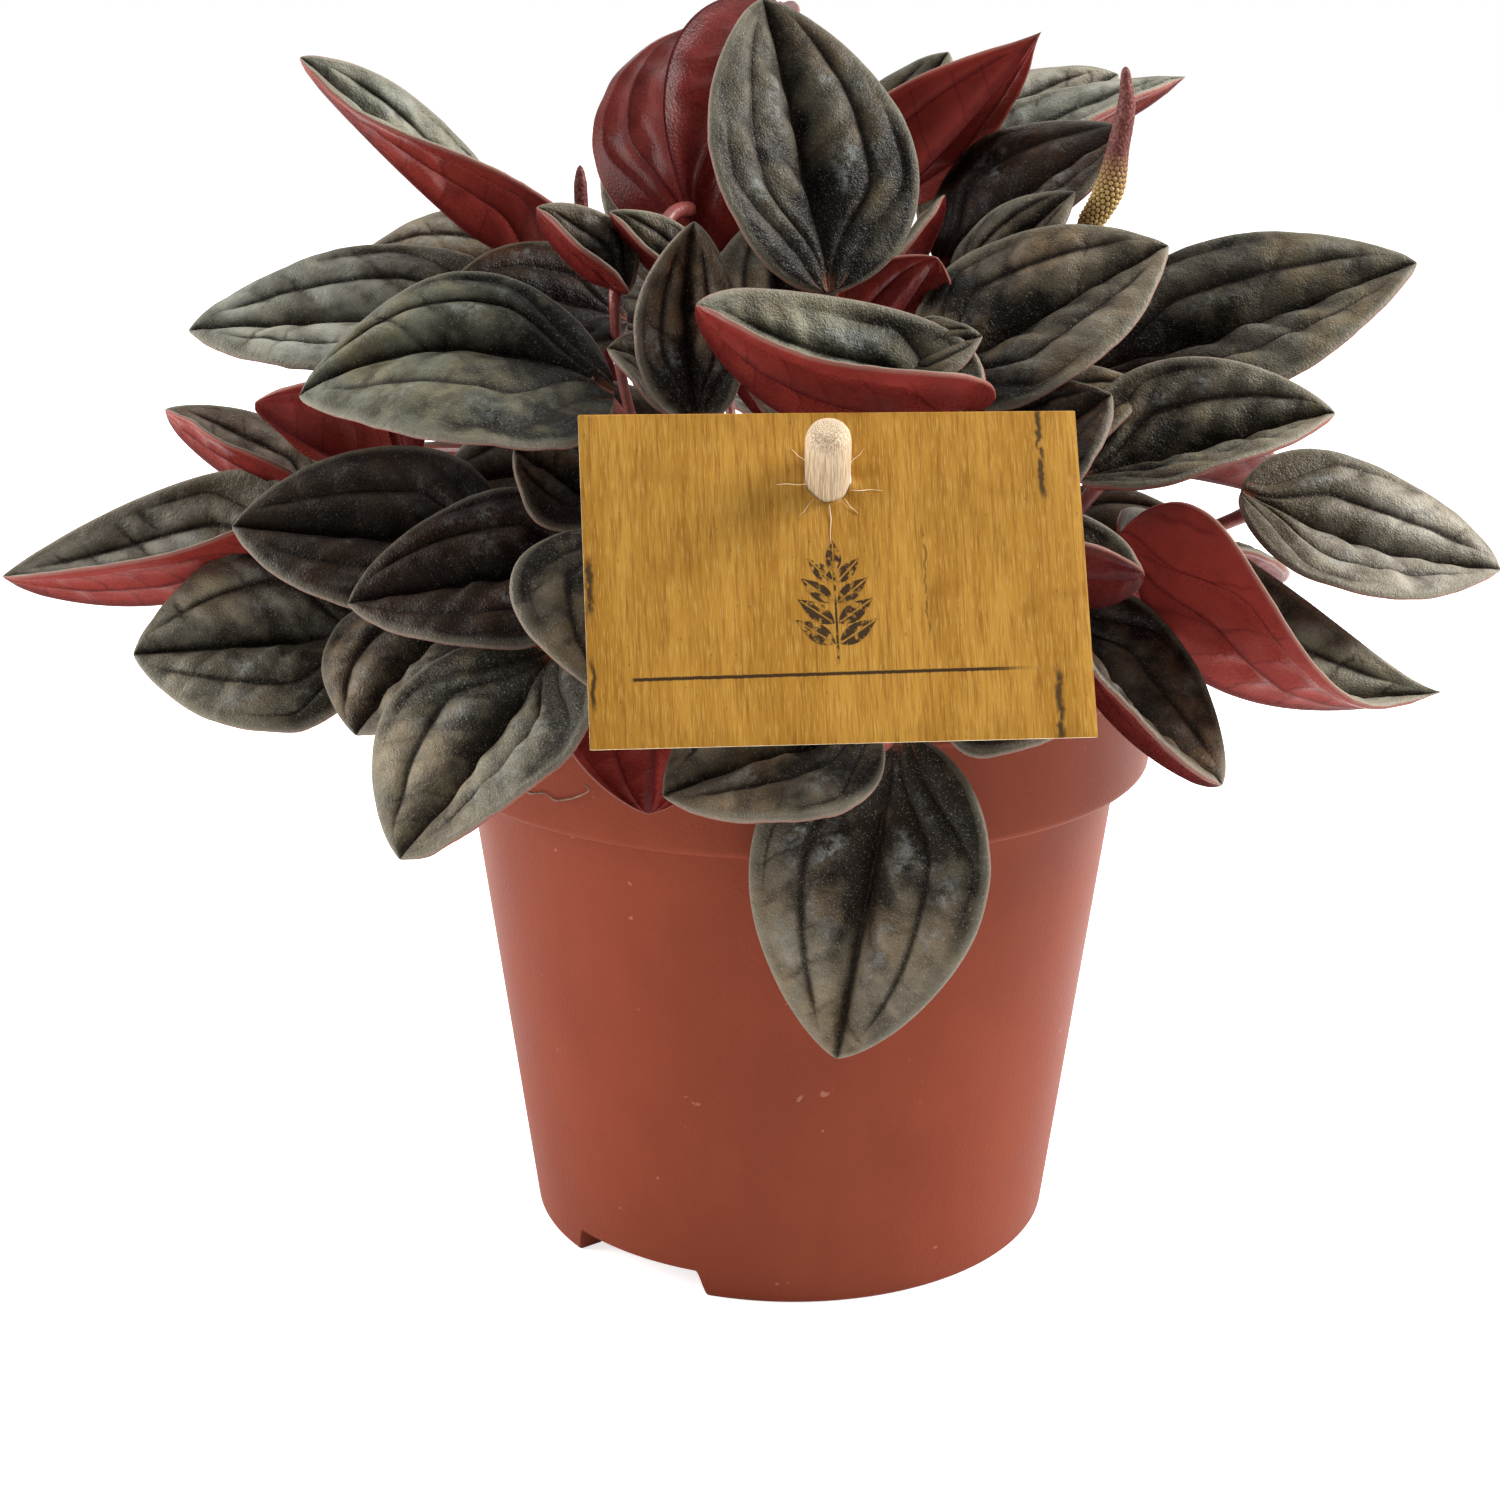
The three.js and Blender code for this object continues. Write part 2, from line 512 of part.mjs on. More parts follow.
function spikeShape(points, clearance) {
  const curve = new THREE.CatmullRomCurve3(points.map(([x, y, z]) => new THREE.Vector3(x, y, z)));
  const radiusAt = (u) => {
    const place = u * (points.length - 1);
    const k = Math.min(Math.floor(place), points.length - 2);
    return THREE.MathUtils.lerp(points[k][3], points[k + 1][3], place - k) + clearance;
  };
  const byPoint = { getPointAt: (u) => curve.getPoint(u) };
  byPoint.computeFrenetFrames = (steps) => curve.computeFrenetFrames(steps, false);
  return solidOf(stemOf(byPoint, 3 * (points.length - 1), 8, radiusAt));
}

for (const [name, points] of FLOWER_SPIKES) {
  place(name, spikeShape(points, 0), spikeShape(points, GAP), MATERIALS.spike);
}
for (const row of LEAVES) {
  place(row[0], leafShape(row, 0), leafShape(row, GAP), MATERIALS.leaf);
}

let crown = crownShape(0);
for (const row of YOUNG_LEAVES) {
  let leaf = leafShape(row, 0);
  for (const other of placed) {
    if (other !== crownRoom) leaf = leaf.subtract(other);
  }
  crown = crown.add(leaf);
}
addPiece("crown", largestBody(crown), MATERIALS.crown);

export default part;
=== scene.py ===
import math

import bpy
import numpy as np
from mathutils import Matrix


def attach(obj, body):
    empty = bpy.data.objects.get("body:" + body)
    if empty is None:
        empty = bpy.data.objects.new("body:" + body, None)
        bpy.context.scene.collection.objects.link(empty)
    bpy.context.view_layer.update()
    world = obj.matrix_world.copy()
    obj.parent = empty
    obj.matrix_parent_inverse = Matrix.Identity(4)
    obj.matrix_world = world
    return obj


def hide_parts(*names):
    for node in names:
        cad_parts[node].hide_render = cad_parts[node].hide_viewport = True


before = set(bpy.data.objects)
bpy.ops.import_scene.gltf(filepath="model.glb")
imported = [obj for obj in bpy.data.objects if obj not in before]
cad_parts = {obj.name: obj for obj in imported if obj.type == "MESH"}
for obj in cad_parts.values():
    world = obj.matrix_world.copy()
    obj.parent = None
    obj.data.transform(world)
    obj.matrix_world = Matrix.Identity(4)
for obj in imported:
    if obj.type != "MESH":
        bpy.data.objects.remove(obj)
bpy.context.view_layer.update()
scene = bpy.context.scene
rng = np.random.default_rng(41)

# ---- Camera, light and floor ----
# A level tabletop under soft white light: a big lamp to the upper right of the front, a weaker
# one to the left, and a bright room all round.
LENS = 59.55
EYE = (0, -0.415, 0.208)
EYE_DOWN = 16.85  # degrees
EYE_TURN = 0.0175
LAMP_AIM = np.array([0, 0, 0.12])
FLOOR_HALF = 4
FLOOR_GLOW = 0.15
FLOOR_GLOW_SEEN = 0.75


def show(name, data, place=(0, 0, 0), turn=(0, 0, 0)):
    """Puts new data into the scene as an object."""
    shown = bpy.data.objects.new(name, data)
    shown.location = place
    shown.rotation_euler = turn
    scene.collection.objects.link(shown)
    return shown


def lamp(name, place, size, watts, colour):
    """A square lamp that points at the middle of the plant."""
    light = bpy.data.lights.new(name, "AREA")
    light.size = size
    light.energy = watts
    light.color = colour
    way = LAMP_AIM - place
    tilt = math.atan2(math.hypot(way[0], way[1]), -way[2])
    show(name, light, place, (tilt, 0, math.atan2(-way[0], way[1])))


class Value:
    """A number or a colour inside a node tree, with the sums and mixes that shading needs."""

    def __init__(self, tree, socket):
        self.tree = tree
        self.socket = socket

    def math(self, operation, other=0.0, clamp=False):
        return read(self.tree, "ShaderNodeMath", {0: self, 1: other}, operation=operation, use_clamp=clamp)

    def __add__(self, other):
        return self.math("ADD", other)

    def __sub__(self, other):
        return self.math("SUBTRACT", other)

    def __mul__(self, other):
        return self.math("MULTIPLY", other)

    def step(self, low, high, out_low=0.0, out_high=1.0):
        """A smooth step from out_low at low to out_high at high."""
        return read(self.tree, "ShaderNodeMapRange", {
            "Value": self, "From Min": low, "From Max": high, "To Min": out_low, "To Max": out_high,
        }, interpolation_type="SMOOTHSTEP")

    def mix(self, a, b):
        """The colour a where this value is 0 and b where it is 1."""
        return blend(self.tree, self, a, b)


def put(tree, kind, inputs=None, **settings):
    """A new node with its settings, and with its inputs linked or set."""
    made = tree.nodes.new(kind)
    for key, setting in settings.items():
        setattr(made, key, setting)
    for key, value in (inputs or {}).items():
        socket = made.inputs[key]
        if isinstance(value, Value):
            tree.links.new(value.socket, socket)
        elif socket.type == "RGBA":
            socket.default_value = (*value, 1)
        else:
            socket.default_value = value
    return made


def read(tree, kind, inputs=None, output=0, **settings):
    """One output of a new node."""
    return Value(tree, put(tree, kind, inputs, **settings).outputs[output])


def blend(tree, share, a, b, how="MIX"):
    return read(tree, "ShaderNodeMix", {0: share, 6: a, 7: b}, 2, data_type="RGBA", blend_type=how)


eye = bpy.data.cameras.new("eye")
eye.lens = LENS
eye.sensor_width = 36
eye.clip_start = 0.01
scene.camera = show("eye", eye, EYE, (math.radians(90 - EYE_DOWN), 0, EYE_TURN))
scene.view_settings.view_transform = "Standard"
lamp("key_lamp", (0.66, 0.02, 0.64), 0.35, 12.0, (1, 0.985, 0.95))
lamp("fill_lamp", (-0.72, -0.02, 0.40), 0.45, 6.5, (1, 0.985, 0.96))

# The room is brighter behind the plant and above it, and the lens sees its walls pure white.
room = bpy.data.worlds.new("room")
scene.world = room
room.use_nodes = True
walls = room.node_tree
walls.nodes.clear()
bearing = read(walls, "ShaderNodeTexCoord", output="Generated")
height = read(walls, "ShaderNodeSeparateXYZ", {0: bearing}, "Z")
backness = (read(walls, "ShaderNodeSeparateXYZ", {0: bearing}, "Y") + height).step(-0.4, 1.15, 0.03, 1.2)
lit_room = read(walls, "ShaderNodeBackground", {"Color": (1, 0.995, 0.97), "Strength": backness})
seen_room = read(walls, "ShaderNodeBackground", {"Color": (1, 1, 1)})
seen = read(walls, "ShaderNodeLightPath", output="Is Camera Ray")
either = read(walls, "ShaderNodeMixShader", {0: seen, 1: lit_room, 2: seen_room})
put(walls, "ShaderNodeOutputWorld", {0: either})

floor_mesh = bpy.data.meshes.new("floor")
floor_corners = [(x * FLOOR_HALF, y * FLOOR_HALF, 0) for x, y in ((-1, -1), (1, -1), (1, 1), (-1, 1))]
floor_mesh.from_pydata(floor_corners, [], [(0, 1, 2, 3)])
floor_paint = bpy.data.materials.new("floor_white")
floor_paint.use_nodes = True
floor_tree = floor_paint.node_tree
floor_shade = floor_tree.nodes["Principled BSDF"]
for key, value in (("Base Color", (0.92, 0.92, 0.92, 1)), ("Emission Color", (1, 1, 1, 1)),
                   ("Roughness", 0.9), ("Specular IOR Level", 0.1)):
    floor_shade.inputs[key].default_value = value
floor_seen = read(floor_tree, "ShaderNodeLightPath", output="Is Camera Ray")
glow = read(floor_tree, "ShaderNodeMapRange", {
    "Value": floor_seen, "To Min": FLOOR_GLOW, "To Max": FLOOR_GLOW_SEEN})
floor_tree.links.new(glow.socket, floor_shade.inputs["Emission Strength"])
floor_mesh.materials.append(floor_paint)
show("floor", floor_mesh)

# ---- Pot ----
# A nursery pot moulded in thin terracotta-coloured polypropylene, with a wide collar below the
# rim, a ring foot with two notches and eight drain holes. The plastic has a faint orange-peel
# texture and small scuffs from handling.
MM = 0.001  # points of shapes are in millimetres
POT_HEIGHT = 103
POT_FOOT = 45.8  # radius at the foot, then below the collar, of the collar and of the rim
POT_BODY_TOP = 56.4
COLLAR = 61.5
RIM = 62.4
COLLAR_Z = 83.4
WALL = 1.1
FLOOR_Z = 6
FLOOR_TOP = 7.2
FOOT_RING = 4.6
NOTCH_HEIGHT = 4.6
NOTCH_HALF_ANGLE = 16.5
NOTCH_SLOPE = 2.4
NOTCH_ANGLES = (-125, 55)
DRAIN_HOLES = 8
DRAIN_RADIUS = 3
DRAIN_CIRCLE = 28  # radius of the circle that the drain holes lie on
SHARP_EDGE = math.radians(40)


def rounded(corners, steps=5):
    """A profile through corners (radius, height, fillet), each fillet cut into short steps."""
    line = []
    for k, (x, z, fillet) in enumerate(corners):
        here = np.array([x, z], float)
        if fillet == 0:
            line.append(here)
            continue
        back = np.array(corners[k - 1][:2]) - here
        ahead = np.array(corners[k + 1][:2]) - here
        start = here + back / np.linalg.norm(back) * fillet
        end = here + ahead / np.linalg.norm(ahead) * fillet
        for u in np.linspace(0, 1, steps + 1):
            line.append((1 - u) ** 2 * start + 2 * u * (1 - u) * here + u * u * end)
    return np.array(line)


def around(count):
    """Angles in equal steps once round a circle."""
    return np.linspace(0, math.tau, count, endpoint=False)


def skin(start, rings, end):
    """Faces of a closed skin over rings of points, with one point at each end."""
    rings = np.asarray(rings, float)
    count = rings.shape[1]
    points = np.vstack([start, rings.reshape(-1, 3), end])
    last = len(points) - 1
    a = np.arange(count)
    b = (a + 1) % count
    first = np.arange(len(rings) - 1)[:, None] * count + 1
    quads = np.stack([first + a, first + b, first + count + b, first + count + a], -1)
    top = last - count
    low_end = np.stack([np.zeros(count, int), 1 + b, 1 + a], -1)
    high_end = np.stack([np.full(count, last), top + a, top + b], -1)
    return points, quads.reshape(-1, 4), np.vstack([low_end, high_end])


class Shape:
    """Points in millimetres with their faces, slots and point values, for one mesh."""

    def __init__(self):
        self.points = []
        self.quads = []
        self.triangles = []
        self.quad_slots = []
        self.triangle_slots = []
        self.values = {}
        self.count = 0

    def add(self, points, quads, triangles, quad_slots=0, triangle_slots=0, **values):
        """Adds a part; every value is one number, or one for each of the points."""
        self.points.append(points)
        self.quads.append(quads + self.count)
        self.triangles.append(triangles + self.count)
        self.quad_slots.append(np.broadcast_to(quad_slots, len(quads)))
        self.triangle_slots.append(np.broadcast_to(triangle_slots, len(triangles)))
        for name, value in values.items():
            self.values.setdefault(name, []).append((self.count, np.broadcast_to(value, len(points))))
        self.count += len(points)

    def build(self, name, materials, sharp_above=None):
        """Makes the mesh and puts it into the scene; edges are smooth up to that angle."""
        points = np.vstack(self.points)
        quads = np.vstack(self.quads)
        triangles = np.vstack(self.triangles)
        corners = np.concatenate([quads.ravel(), triangles.ravel()])
        starts = np.concatenate([
            np.arange(len(quads)) * 4, len(quads) * 4 + np.arange(len(triangles)) * 3])
        slots = np.concatenate(self.quad_slots + self.triangle_slots)
        mesh = bpy.data.meshes.new(name)
        mesh.vertices.add(len(points))
        mesh.vertices.foreach_set("co", (points * MM).astype(np.float32).ravel())
        mesh.loops.add(len(corners))
        mesh.loops.foreach_set("vertex_index", corners.astype(np.int32))
        mesh.polygons.add(len(starts))
        mesh.polygons.foreach_set("loop_start", starts.astype(np.int32))
        mesh.polygons.foreach_set("material_index", slots.astype(np.int32))
        mesh.polygons.foreach_set("use_smooth", np.ones(len(starts), bool))
        for material in materials:
            mesh.materials.append(material)
        mesh.update(calc_edges=True)
        for key, runs in self.values.items():
            whole = np.zeros(len(points), np.float32)
            for first, value in runs:
                whole[first:first + len(value)] = value
            mesh.attributes.new(key, "FLOAT", "POINT").data.foreach_set("value", whole)
        if sharp_above:
            mesh.set_sharp_from_angle(angle=sharp_above)
        return show(name, mesh)


def settle(piece, node):
    """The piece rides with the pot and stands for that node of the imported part."""
    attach(piece, "root")
    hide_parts(node)


class Finish:
    """A material in the making: the colour laid on so far, and what its textures start from."""

    def __init__(self, name, roughness, specular=0.5):
        self.material = bpy.data.materials.new(name)
        self.material.use_nodes = True
        self.tree = self.material.node_tree
        self.shade = self.tree.nodes["Principled BSDF"]
        self.shade.inputs["Roughness"].default_value = roughness
        self.shade.inputs["Specular IOR Level"].default_value = specular
        self.place = read(self.tree, "ShaderNodeTexCoord", output="Object")
        self.colour = None

    def value(self, name):
        """A value that the mesh carries on its points."""
        return read(self.tree, "ShaderNodeAttribute", output="Fac", attribute_name=name)

    def stretched(self, scale, turn=(0, 0, 0)):
        """Where a point is once its object is turned and scaled."""
        return read(self.tree, "ShaderNodeMapping", {
            "Vector": self.place, "Rotation": turn, "Scale": scale})

    def noise(self, scale, detail=2.0, roughness=0.5, place=None):
        return read(self.tree, "ShaderNodeTexNoise", {
            "Vector": place or self.place, "Scale": scale, "Detail": detail, "Roughness": roughness}, "Fac")

    def grain(self, blotch_size, speckle_size):
        """Slow blotches, fine speckles, and a height for the bump, at those sizes in metres."""
        blotch = self.noise(1 / blotch_size, 3)
        speckle = self.noise(1 / speckle_size, 1)
        cells = read(self.tree, "ShaderNodeTexVoronoi", {
            "Vector": self.place, "Scale": 1 / speckle_size}, "Distance")
        return blotch.step(0.3, 0.7), speckle.step(0.35, 0.72), cells * -0.5 + speckle

    def cover(self, share, colour, how="MIX"):
        """Lays another colour over the last by that share."""
        self.colour = blend(self.tree, share, self.colour, colour, how)

    def wire(self, height, depth, roughness=None):
        """Joins the colour, a bump of that depth and the roughness to the shader."""
        bump = read(self.tree, "ShaderNodeBump", {"Height": height, "Distance": depth})
        self.tree.links.new(bump.socket, self.shade.inputs["Normal"])
        self.tree.links.new(self.colour.socket, self.shade.inputs["Base Color"])
        if roughness:
            self.tree.links.new(roughness.socket, self.shade.inputs["Roughness"])
        return self.material


def notch_lift(angles):
    """How far the foot is raised at each angle: the full height inside a notch, none outside."""
    lift = np.zeros(len(angles))
    for notch in NOTCH_ANGLES:
        away = np.abs((np.degrees(angles) - notch + 180) % 360 - 180)
        lift += NOTCH_HEIGHT * ease((NOTCH_HALF_ANGLE + NOTCH_SLOPE / 2 - away) / NOTCH_SLOPE)
    return lift


def ease(value):
    """A smooth step from 0 to 1."""
    value = np.clip(value, 0, 1)
    return value * value * (3 - 2 * value)


wall_slope = (POT_BODY_TOP - POT_FOOT) / COLLAR_Z
wall_steps = [(POT_FOOT + wall_slope * z, z, 0) for z in (1.2, 2, 3, 4, 5, 6, 8, 20, 35, 50, 65, 78)]
foot_inside = POT_FOOT - FOOT_RING
pot_profile = rounded([
    (12.6, 0, 0), (12.8, 3, 0), (13, FLOOR_Z, 0.5), (foot_inside - 0.6, FLOOR_Z, 0.5),
    (foot_inside - 0.3, 3, 0), (foot_inside, 0, 0.4), (POT_FOOT, 0, 0.7),
    *wall_steps, (POT_BODY_TOP, COLLAR_Z, 0.7), (COLLAR, COLLAR_Z, 1.3),
    (COLLAR + 0.15, COLLAR_Z + 4, 0), (RIM - 0.45, 100.4, 0.4), (RIM, 100.9, 0.3),
    (RIM, POT_HEIGHT, 0.6), (RIM - 1.6, POT_HEIGHT, 0.5), (COLLAR - WALL, COLLAR_Z + 2.4, 1.0),
    (POT_BODY_TOP - WALL, COLLAR_Z + 0.9, 0.4), (POT_BODY_TOP - WALL - 2, 68, 0),
    (POT_FOOT + 0.9 - WALL, FLOOR_TOP, 1.0), (14, FLOOR_TOP, 0),
])
notch_columns = [
    notch + side * (NOTCH_HALF_ANGLE + offset)
    for notch in NOTCH_ANGLES for side in (-1, 1) for offset in np.linspace(-2, 2, 13)]
pot_angles = np.radians(np.unique(np.round(
    np.concatenate([np.arange(-180, 180, 1.5), notch_columns]), 3)))
pot_rings = []
for radius, z in pot_profile:
    in_foot = z < FLOOR_Z and radius > 20
    rise = notch_lift(pot_angles) * (1 - z / FLOOR_Z) if in_foot else 0
    outwards = radius + (wall_slope * rise if radius > POT_FOOT - 1 else 0)
    pot_rings.append(np.stack([
        outwards * np.cos(pot_angles), outwards * np.sin(pot_angles),
        np.full(len(pot_angles), z) + rise], -1))
pot_shape = Shape()
pot_shape.add(*skin((0, 0, 0), pot_rings, (0, 0, FLOOR_TOP)))

plastic = Finish("terracotta_plastic", 0.4, 0.07)
blotch, _, peel = plastic.grain(0.02, 0.00055)
flow = plastic.noise(130, 3, place=plastic.stretched((1, 1, 0.08)))
scuffs = plastic.noise(420, place=plastic.stretched((1, 0.12, 1), (0.5, 0.9, 0.3))).step(0.735, 0.80)
plastic.colour = blotch.mix((0.205, 0.042, 0.021), (0.228, 0.049, 0.024))
plastic.cover(flow.step(0.35, 0.75, 0, 0.3), (0.188, 0.037, 0.018))
plastic.cover(scuffs * 0.35, (0.55, 0.3, 0.22))
pot_plastic = plastic.wire(peel, 0.00006, scuffs * 0.2 + blotch * 0.06 + 0.42)

pot = pot_shape.build("pot", [pot_plastic], SHARP_EDGE)
drills = Shape()
for angle in around(DRAIN_HOLES):
    turns = around(24)
    middle = np.array([DRAIN_CIRCLE * math.cos(angle), DRAIN_CIRCLE * math.sin(angle), 0])
    rim_of_hole = np.stack([np.cos(turns), np.sin(turns), 0 * turns], -1) * DRAIN_RADIUS + middle
    low = [0, 0, FLOOR_Z - 2]
    high = [0, 0, FLOOR_TOP + 2.8]
    drills.add(*skin(middle + low, [rim_of_hole + low, rim_of_hole + high], middle + high))
drill = drills.build("drill", [pot_plastic])
cut = pot.modifiers.new("drain_holes", "BOOLEAN")
cut.object = drill
cut.operation = "DIFFERENCE"
drilled = bpy.data.meshes.new_from_object(pot.evaluated_get(bpy.context.evaluated_depsgraph_get()))
pot.modifiers.clear()
pot.data = drilled
bpy.data.objects.remove(drill)
settle(pot, "nursery_pot")

# ---- Potting soil ----
# Dark fibrous peat that fills the pot to a little below its rim, higher in the middle, with
# loose crumbs on top.
SOIL_FOOT = 7.6
SOIL_TOP = 95
SOIL_EDGE = COLLAR - 1.6
CRUMBS = 420
CRUMB_SPREAD = 58
LATTICE = 32
lattice = rng.random((LATTICE, LATTICE, LATTICE))


def lumps(points, size):
    """Smooth random heights from -1 to 1 at points, with features of the given size."""
    scaled = np.asarray(points, float) / size
    whole = np.floor(scaled).astype(int)
    part = ease(scaled - whole)
    total = 0
    for corner in range(8):
        bits = np.array([corner & 1, corner >> 1 & 1, corner >> 2 & 1])
        at = (whole + bits) % LATTICE
        weight = np.prod(np.where(bits, part, 1 - part), axis=-1)
        total = total + weight * lattice[at[..., 0], at[..., 1], at[..., 2]]
    return 2 * total - 1


def turned_rings(profile, sectors):
    turns = around(sectors)
    return [np.stack([r * np.cos(turns), r * np.sin(turns), np.full(sectors, float(z))], -1)
            for r, z in profile]


def soil_height(radius):
    return np.interp(radius, [0, 30, COLLAR - 14, SOIL_EDGE], [SOIL_TOP, 94, 92.5, 91])


def crumb(middle, size, sides=8, levels=5):
    """One closed crumb: a ball of that size pushed in and out."""
    tilt = np.linspace(0, math.pi, levels + 2)[1:-1]
    turns = around(sides)
    ball = np.stack([
        np.sin(tilt)[:, None] * np.cos(turns), np.sin(tilt)[:, None] * np.sin(turns),
        -np.cos(tilt)[:, None] * np.ones(sides)], -1)
    squash = rng.uniform(0.6, 1.2, 3)
    push = 1 + 0.35 * lumps(ball * 2 + middle, 1.0)[..., None]
    pole = [0, 0, size * squash[2]]
    return skin(middle - pole, middle + size * squash * ball * push, middle + pole)


soil_profile = [(20, SOIL_FOOT), (POT_FOOT - 1.6, SOIL_FOOT), (POT_BODY_TOP - 3.4, 68),
                (POT_BODY_TOP - 1.6, 84.8), (COLLAR - 3.2, 85.2), (SOIL_EDGE, 86.5), (SOIL_EDGE, 89.4)]
soil_surface = len(soil_profile)
soil_profile += [(r, soil_height(r)) for r in np.linspace(SOIL_EDGE, 1.5, 42)]
soil_rings = np.array(turned_rings(soil_profile, 168))
crumbly = 0.9 * lumps(soil_rings, 3.1) + 0.5 * lumps(soil_rings + 9, 1.3)
soil_rings[soil_surface:, :, 2] += crumbly[soil_surface:]
soil_shape = Shape()
soil_shape.add(*skin((0, 0, SOIL_FOOT), soil_rings, (0, 0, SOIL_TOP)))
for _ in range(CRUMBS):
    radius = CRUMB_SPREAD * math.sqrt(rng.random())
    angle = rng.uniform(0, math.tau)
    middle = np.array([radius * math.cos(angle), radius * math.sin(angle), soil_height(radius) + 0.7])
    soil_shape.add(*crumb(middle, rng.uniform(0.5, 1.5)))

peat = Finish("peat", 0.95)
blotch, speckle, crumbs = peat.grain(0.004, 0.0006)
peat.colour = blotch.mix((0.018, 0.011, 0.007), (0.055, 0.033, 0.02))
peat.cover(speckle * 0.5, (0.12, 0.075, 0.045))
settle(soil_shape.build("soil", [peat.wire(crumbs, 0.0005)]), "potting_soil")

# ---- Leaves ----
# Thick, stiff, quilted blades with a sunken midrib and two pairs of sunken side veins, which
# meet at the petiole. Grey-green and velvety above with a pale rounded margin, glossy wine red
# below, each on a round reddish petiole that rises from the crown.
EVEN_POINT = 0.78  # how sharp the tip is; a higher number is sharper
EVEN_GREEN = 0.55  # colour of the upper face from brown 0 to green 1
FINELY_MADE = 38  # the leaves at the front and sides get more points than those at the back
FINE_GRID = (64, (9, 7, 4))  # rows, and columns in each panel from the midrib to the edge
PLAIN_GRID = (40, (7, 6, 3))
RIM_COLUMNS = np.array([1, 0.62, 0.3, 0.08, 0])  # places in the rounded edge, from inside out
FIRST_VEIN = 0.50  # place of each side vein as a share of the half width
SECOND_VEIN = 0.855
FIRST_FADE = (0.80, 0.17)  # where each of them starts to run out, and over what length
SECOND_FADE = (0.42, 0.30)
VEIN_WAVER = 0.05
BRANCH_GAP = 17  # length of blade for each branch vein beyond the first four
BRANCH_LEAN = 0.75
SECTION = 0.12  # depth of the fold along the midrib as a share of the half width
PILLOW = 0.27  # height of a quilted panel as a share of its width
DENT_WIDTH = 1.7  # of the dents across the panels
BLADE_HALF = 0.5  # half of the blade's thickness
EDGE_ROUND = 0.55
PETIOLE_JOIN = 0.09
PETIOLE_RADIUS = 1.5
PETIOLE_SIDES = 12
PETIOLE_FOOT = np.array([0, 0, 97])
NARROW_LEAF = 24  # a leaf less wide than this has a thinner petiole
UPWARD = np.array([0, 0, 1])
TOP, UNDER, STALK = 0, 1, 2  # material slots


def unit(vector):
    vector = np.asarray(vector, float)
    return vector / np.linalg.norm(vector, axis=-1, keepdims=True)


def running_length(points):
    """How far along its line each point is."""
    return np.concatenate([[0], np.cumsum(np.linalg.norm(np.diff(points, axis=0), axis=1))])


def capped(values, end=0.0):
    """Values for the points of a skin, with those of its two end points added."""
    return np.concatenate([[0.0], values, [end]])


class Leaf:
    """One leaf: where its blade lies, how it curves, and its colour.

    Base and tip are the ends of the blade. Roll turns it about its length, cup folds its sides
    up and twist turns its tip against its base, in degrees. Arch and bend bow it upwards and
    sideways, skew makes its right half wider, and tone runs from brown 0 to silver 1. The tone
    is partly the leaf's own colour and partly painted shade, lower for leaves in the shade of others.
    """

    def __init__(self, base, tip, width, roll, arch, cup, tone,
                 bend=0, skew=0, twist=0, point=EVEN_POINT, green=EVEN_GREEN):
        self.base = np.array(base, float)
        self.length = np.linalg.norm(tip - self.base)
        self.width = width
        self.arch = arch
        self.cup = cup
        self.tone = tone
        self.bend = bend
        self.skew = skew
        self.twist = twist
        self.point = point
        self.green = green
        # along the blade, out of its upper face, and to its right
        self.along = unit(tip - self.base)
        level = unit(UPWARD - self.along[2] * self.along)
        angle = math.radians(roll)
        self.up = level * math.cos(angle) + np.cross(self.along, level) * math.sin(angle)
        self.right = np.cross(self.along, self.up)

    def half_width(self, s):
        """Half of the width at s, from 0 at the base to 1 at the tip."""
        s = np.clip(s, 0, 1)
        peak = 0.5 / (0.5 + self.point)
        widest = peak ** 0.5 * (1 - peak) ** self.point
        return self.width / 2 * (s ** 0.5 * (1 - s) ** self.point / widest)

    def rows(self, count):
        """Positions from base to tip, at equal steps along the margin."""
        dense = np.linspace(0, 1, 2001) ** 1.6
        run = running_length(np.stack([self.length * dense, self.half_width(dense)], -1))
        return np.interp((np.arange(count) + 0.6) / (count + 0.2) * run[-1], run, dense)[:, None]

    def surface(self, s, t):
        """The smooth middle surface: s from base to tip, t from left edge to right edge."""
        hump = 4 * s * (1 - s)
        half = self.half_width(s) * (1 + self.skew * np.sign(t))
        fold = math.radians(0.35 * self.cup)
        curl = math.radians(1.3 * self.cup) + 1e-6
        across = half * np.sin(curl * np.abs(t)) / curl
        rise = half * (1 - np.cos(curl * np.abs(t))) / curl
        sideways = (across * math.cos(fold) - rise * math.sin(fold)) * np.sign(t)
        lift = across * math.sin(fold) + rise * math.cos(fold)
        turn = np.radians(self.twist * (s - 0.5))
        rightward = sideways * np.cos(turn) - lift * np.sin(turn) + self.bend * hump
        upward = sideways * np.sin(turn) + lift * np.cos(turn) + self.arch * hump
        place = self.base + self.along * (self.length * s)[..., None]
        return place + self.up * upward[..., None] + self.right * rightward[..., None]

    def outwards(self, s, t):
        """Directions straight out of the upper face, averaged over the fold at the midrib."""
        ahead = self.surface(np.clip(s + 0.004, 0, 1), t) - self.surface(np.clip(s - 0.004, 0, 1), t)
        over_rib = self.surface(s, np.abs(t) + 0.05) - self.surface(s, -np.abs(t) - 0.05)
        beside = self.surface(s, t + 0.03) - self.surface(s, t - 0.03)
        share = np.clip(np.abs(t) * 4, 0, 1)[..., None]
        return unit(np.cross(unit(beside) * share + unit(over_rib) * (1 - share), ahead))


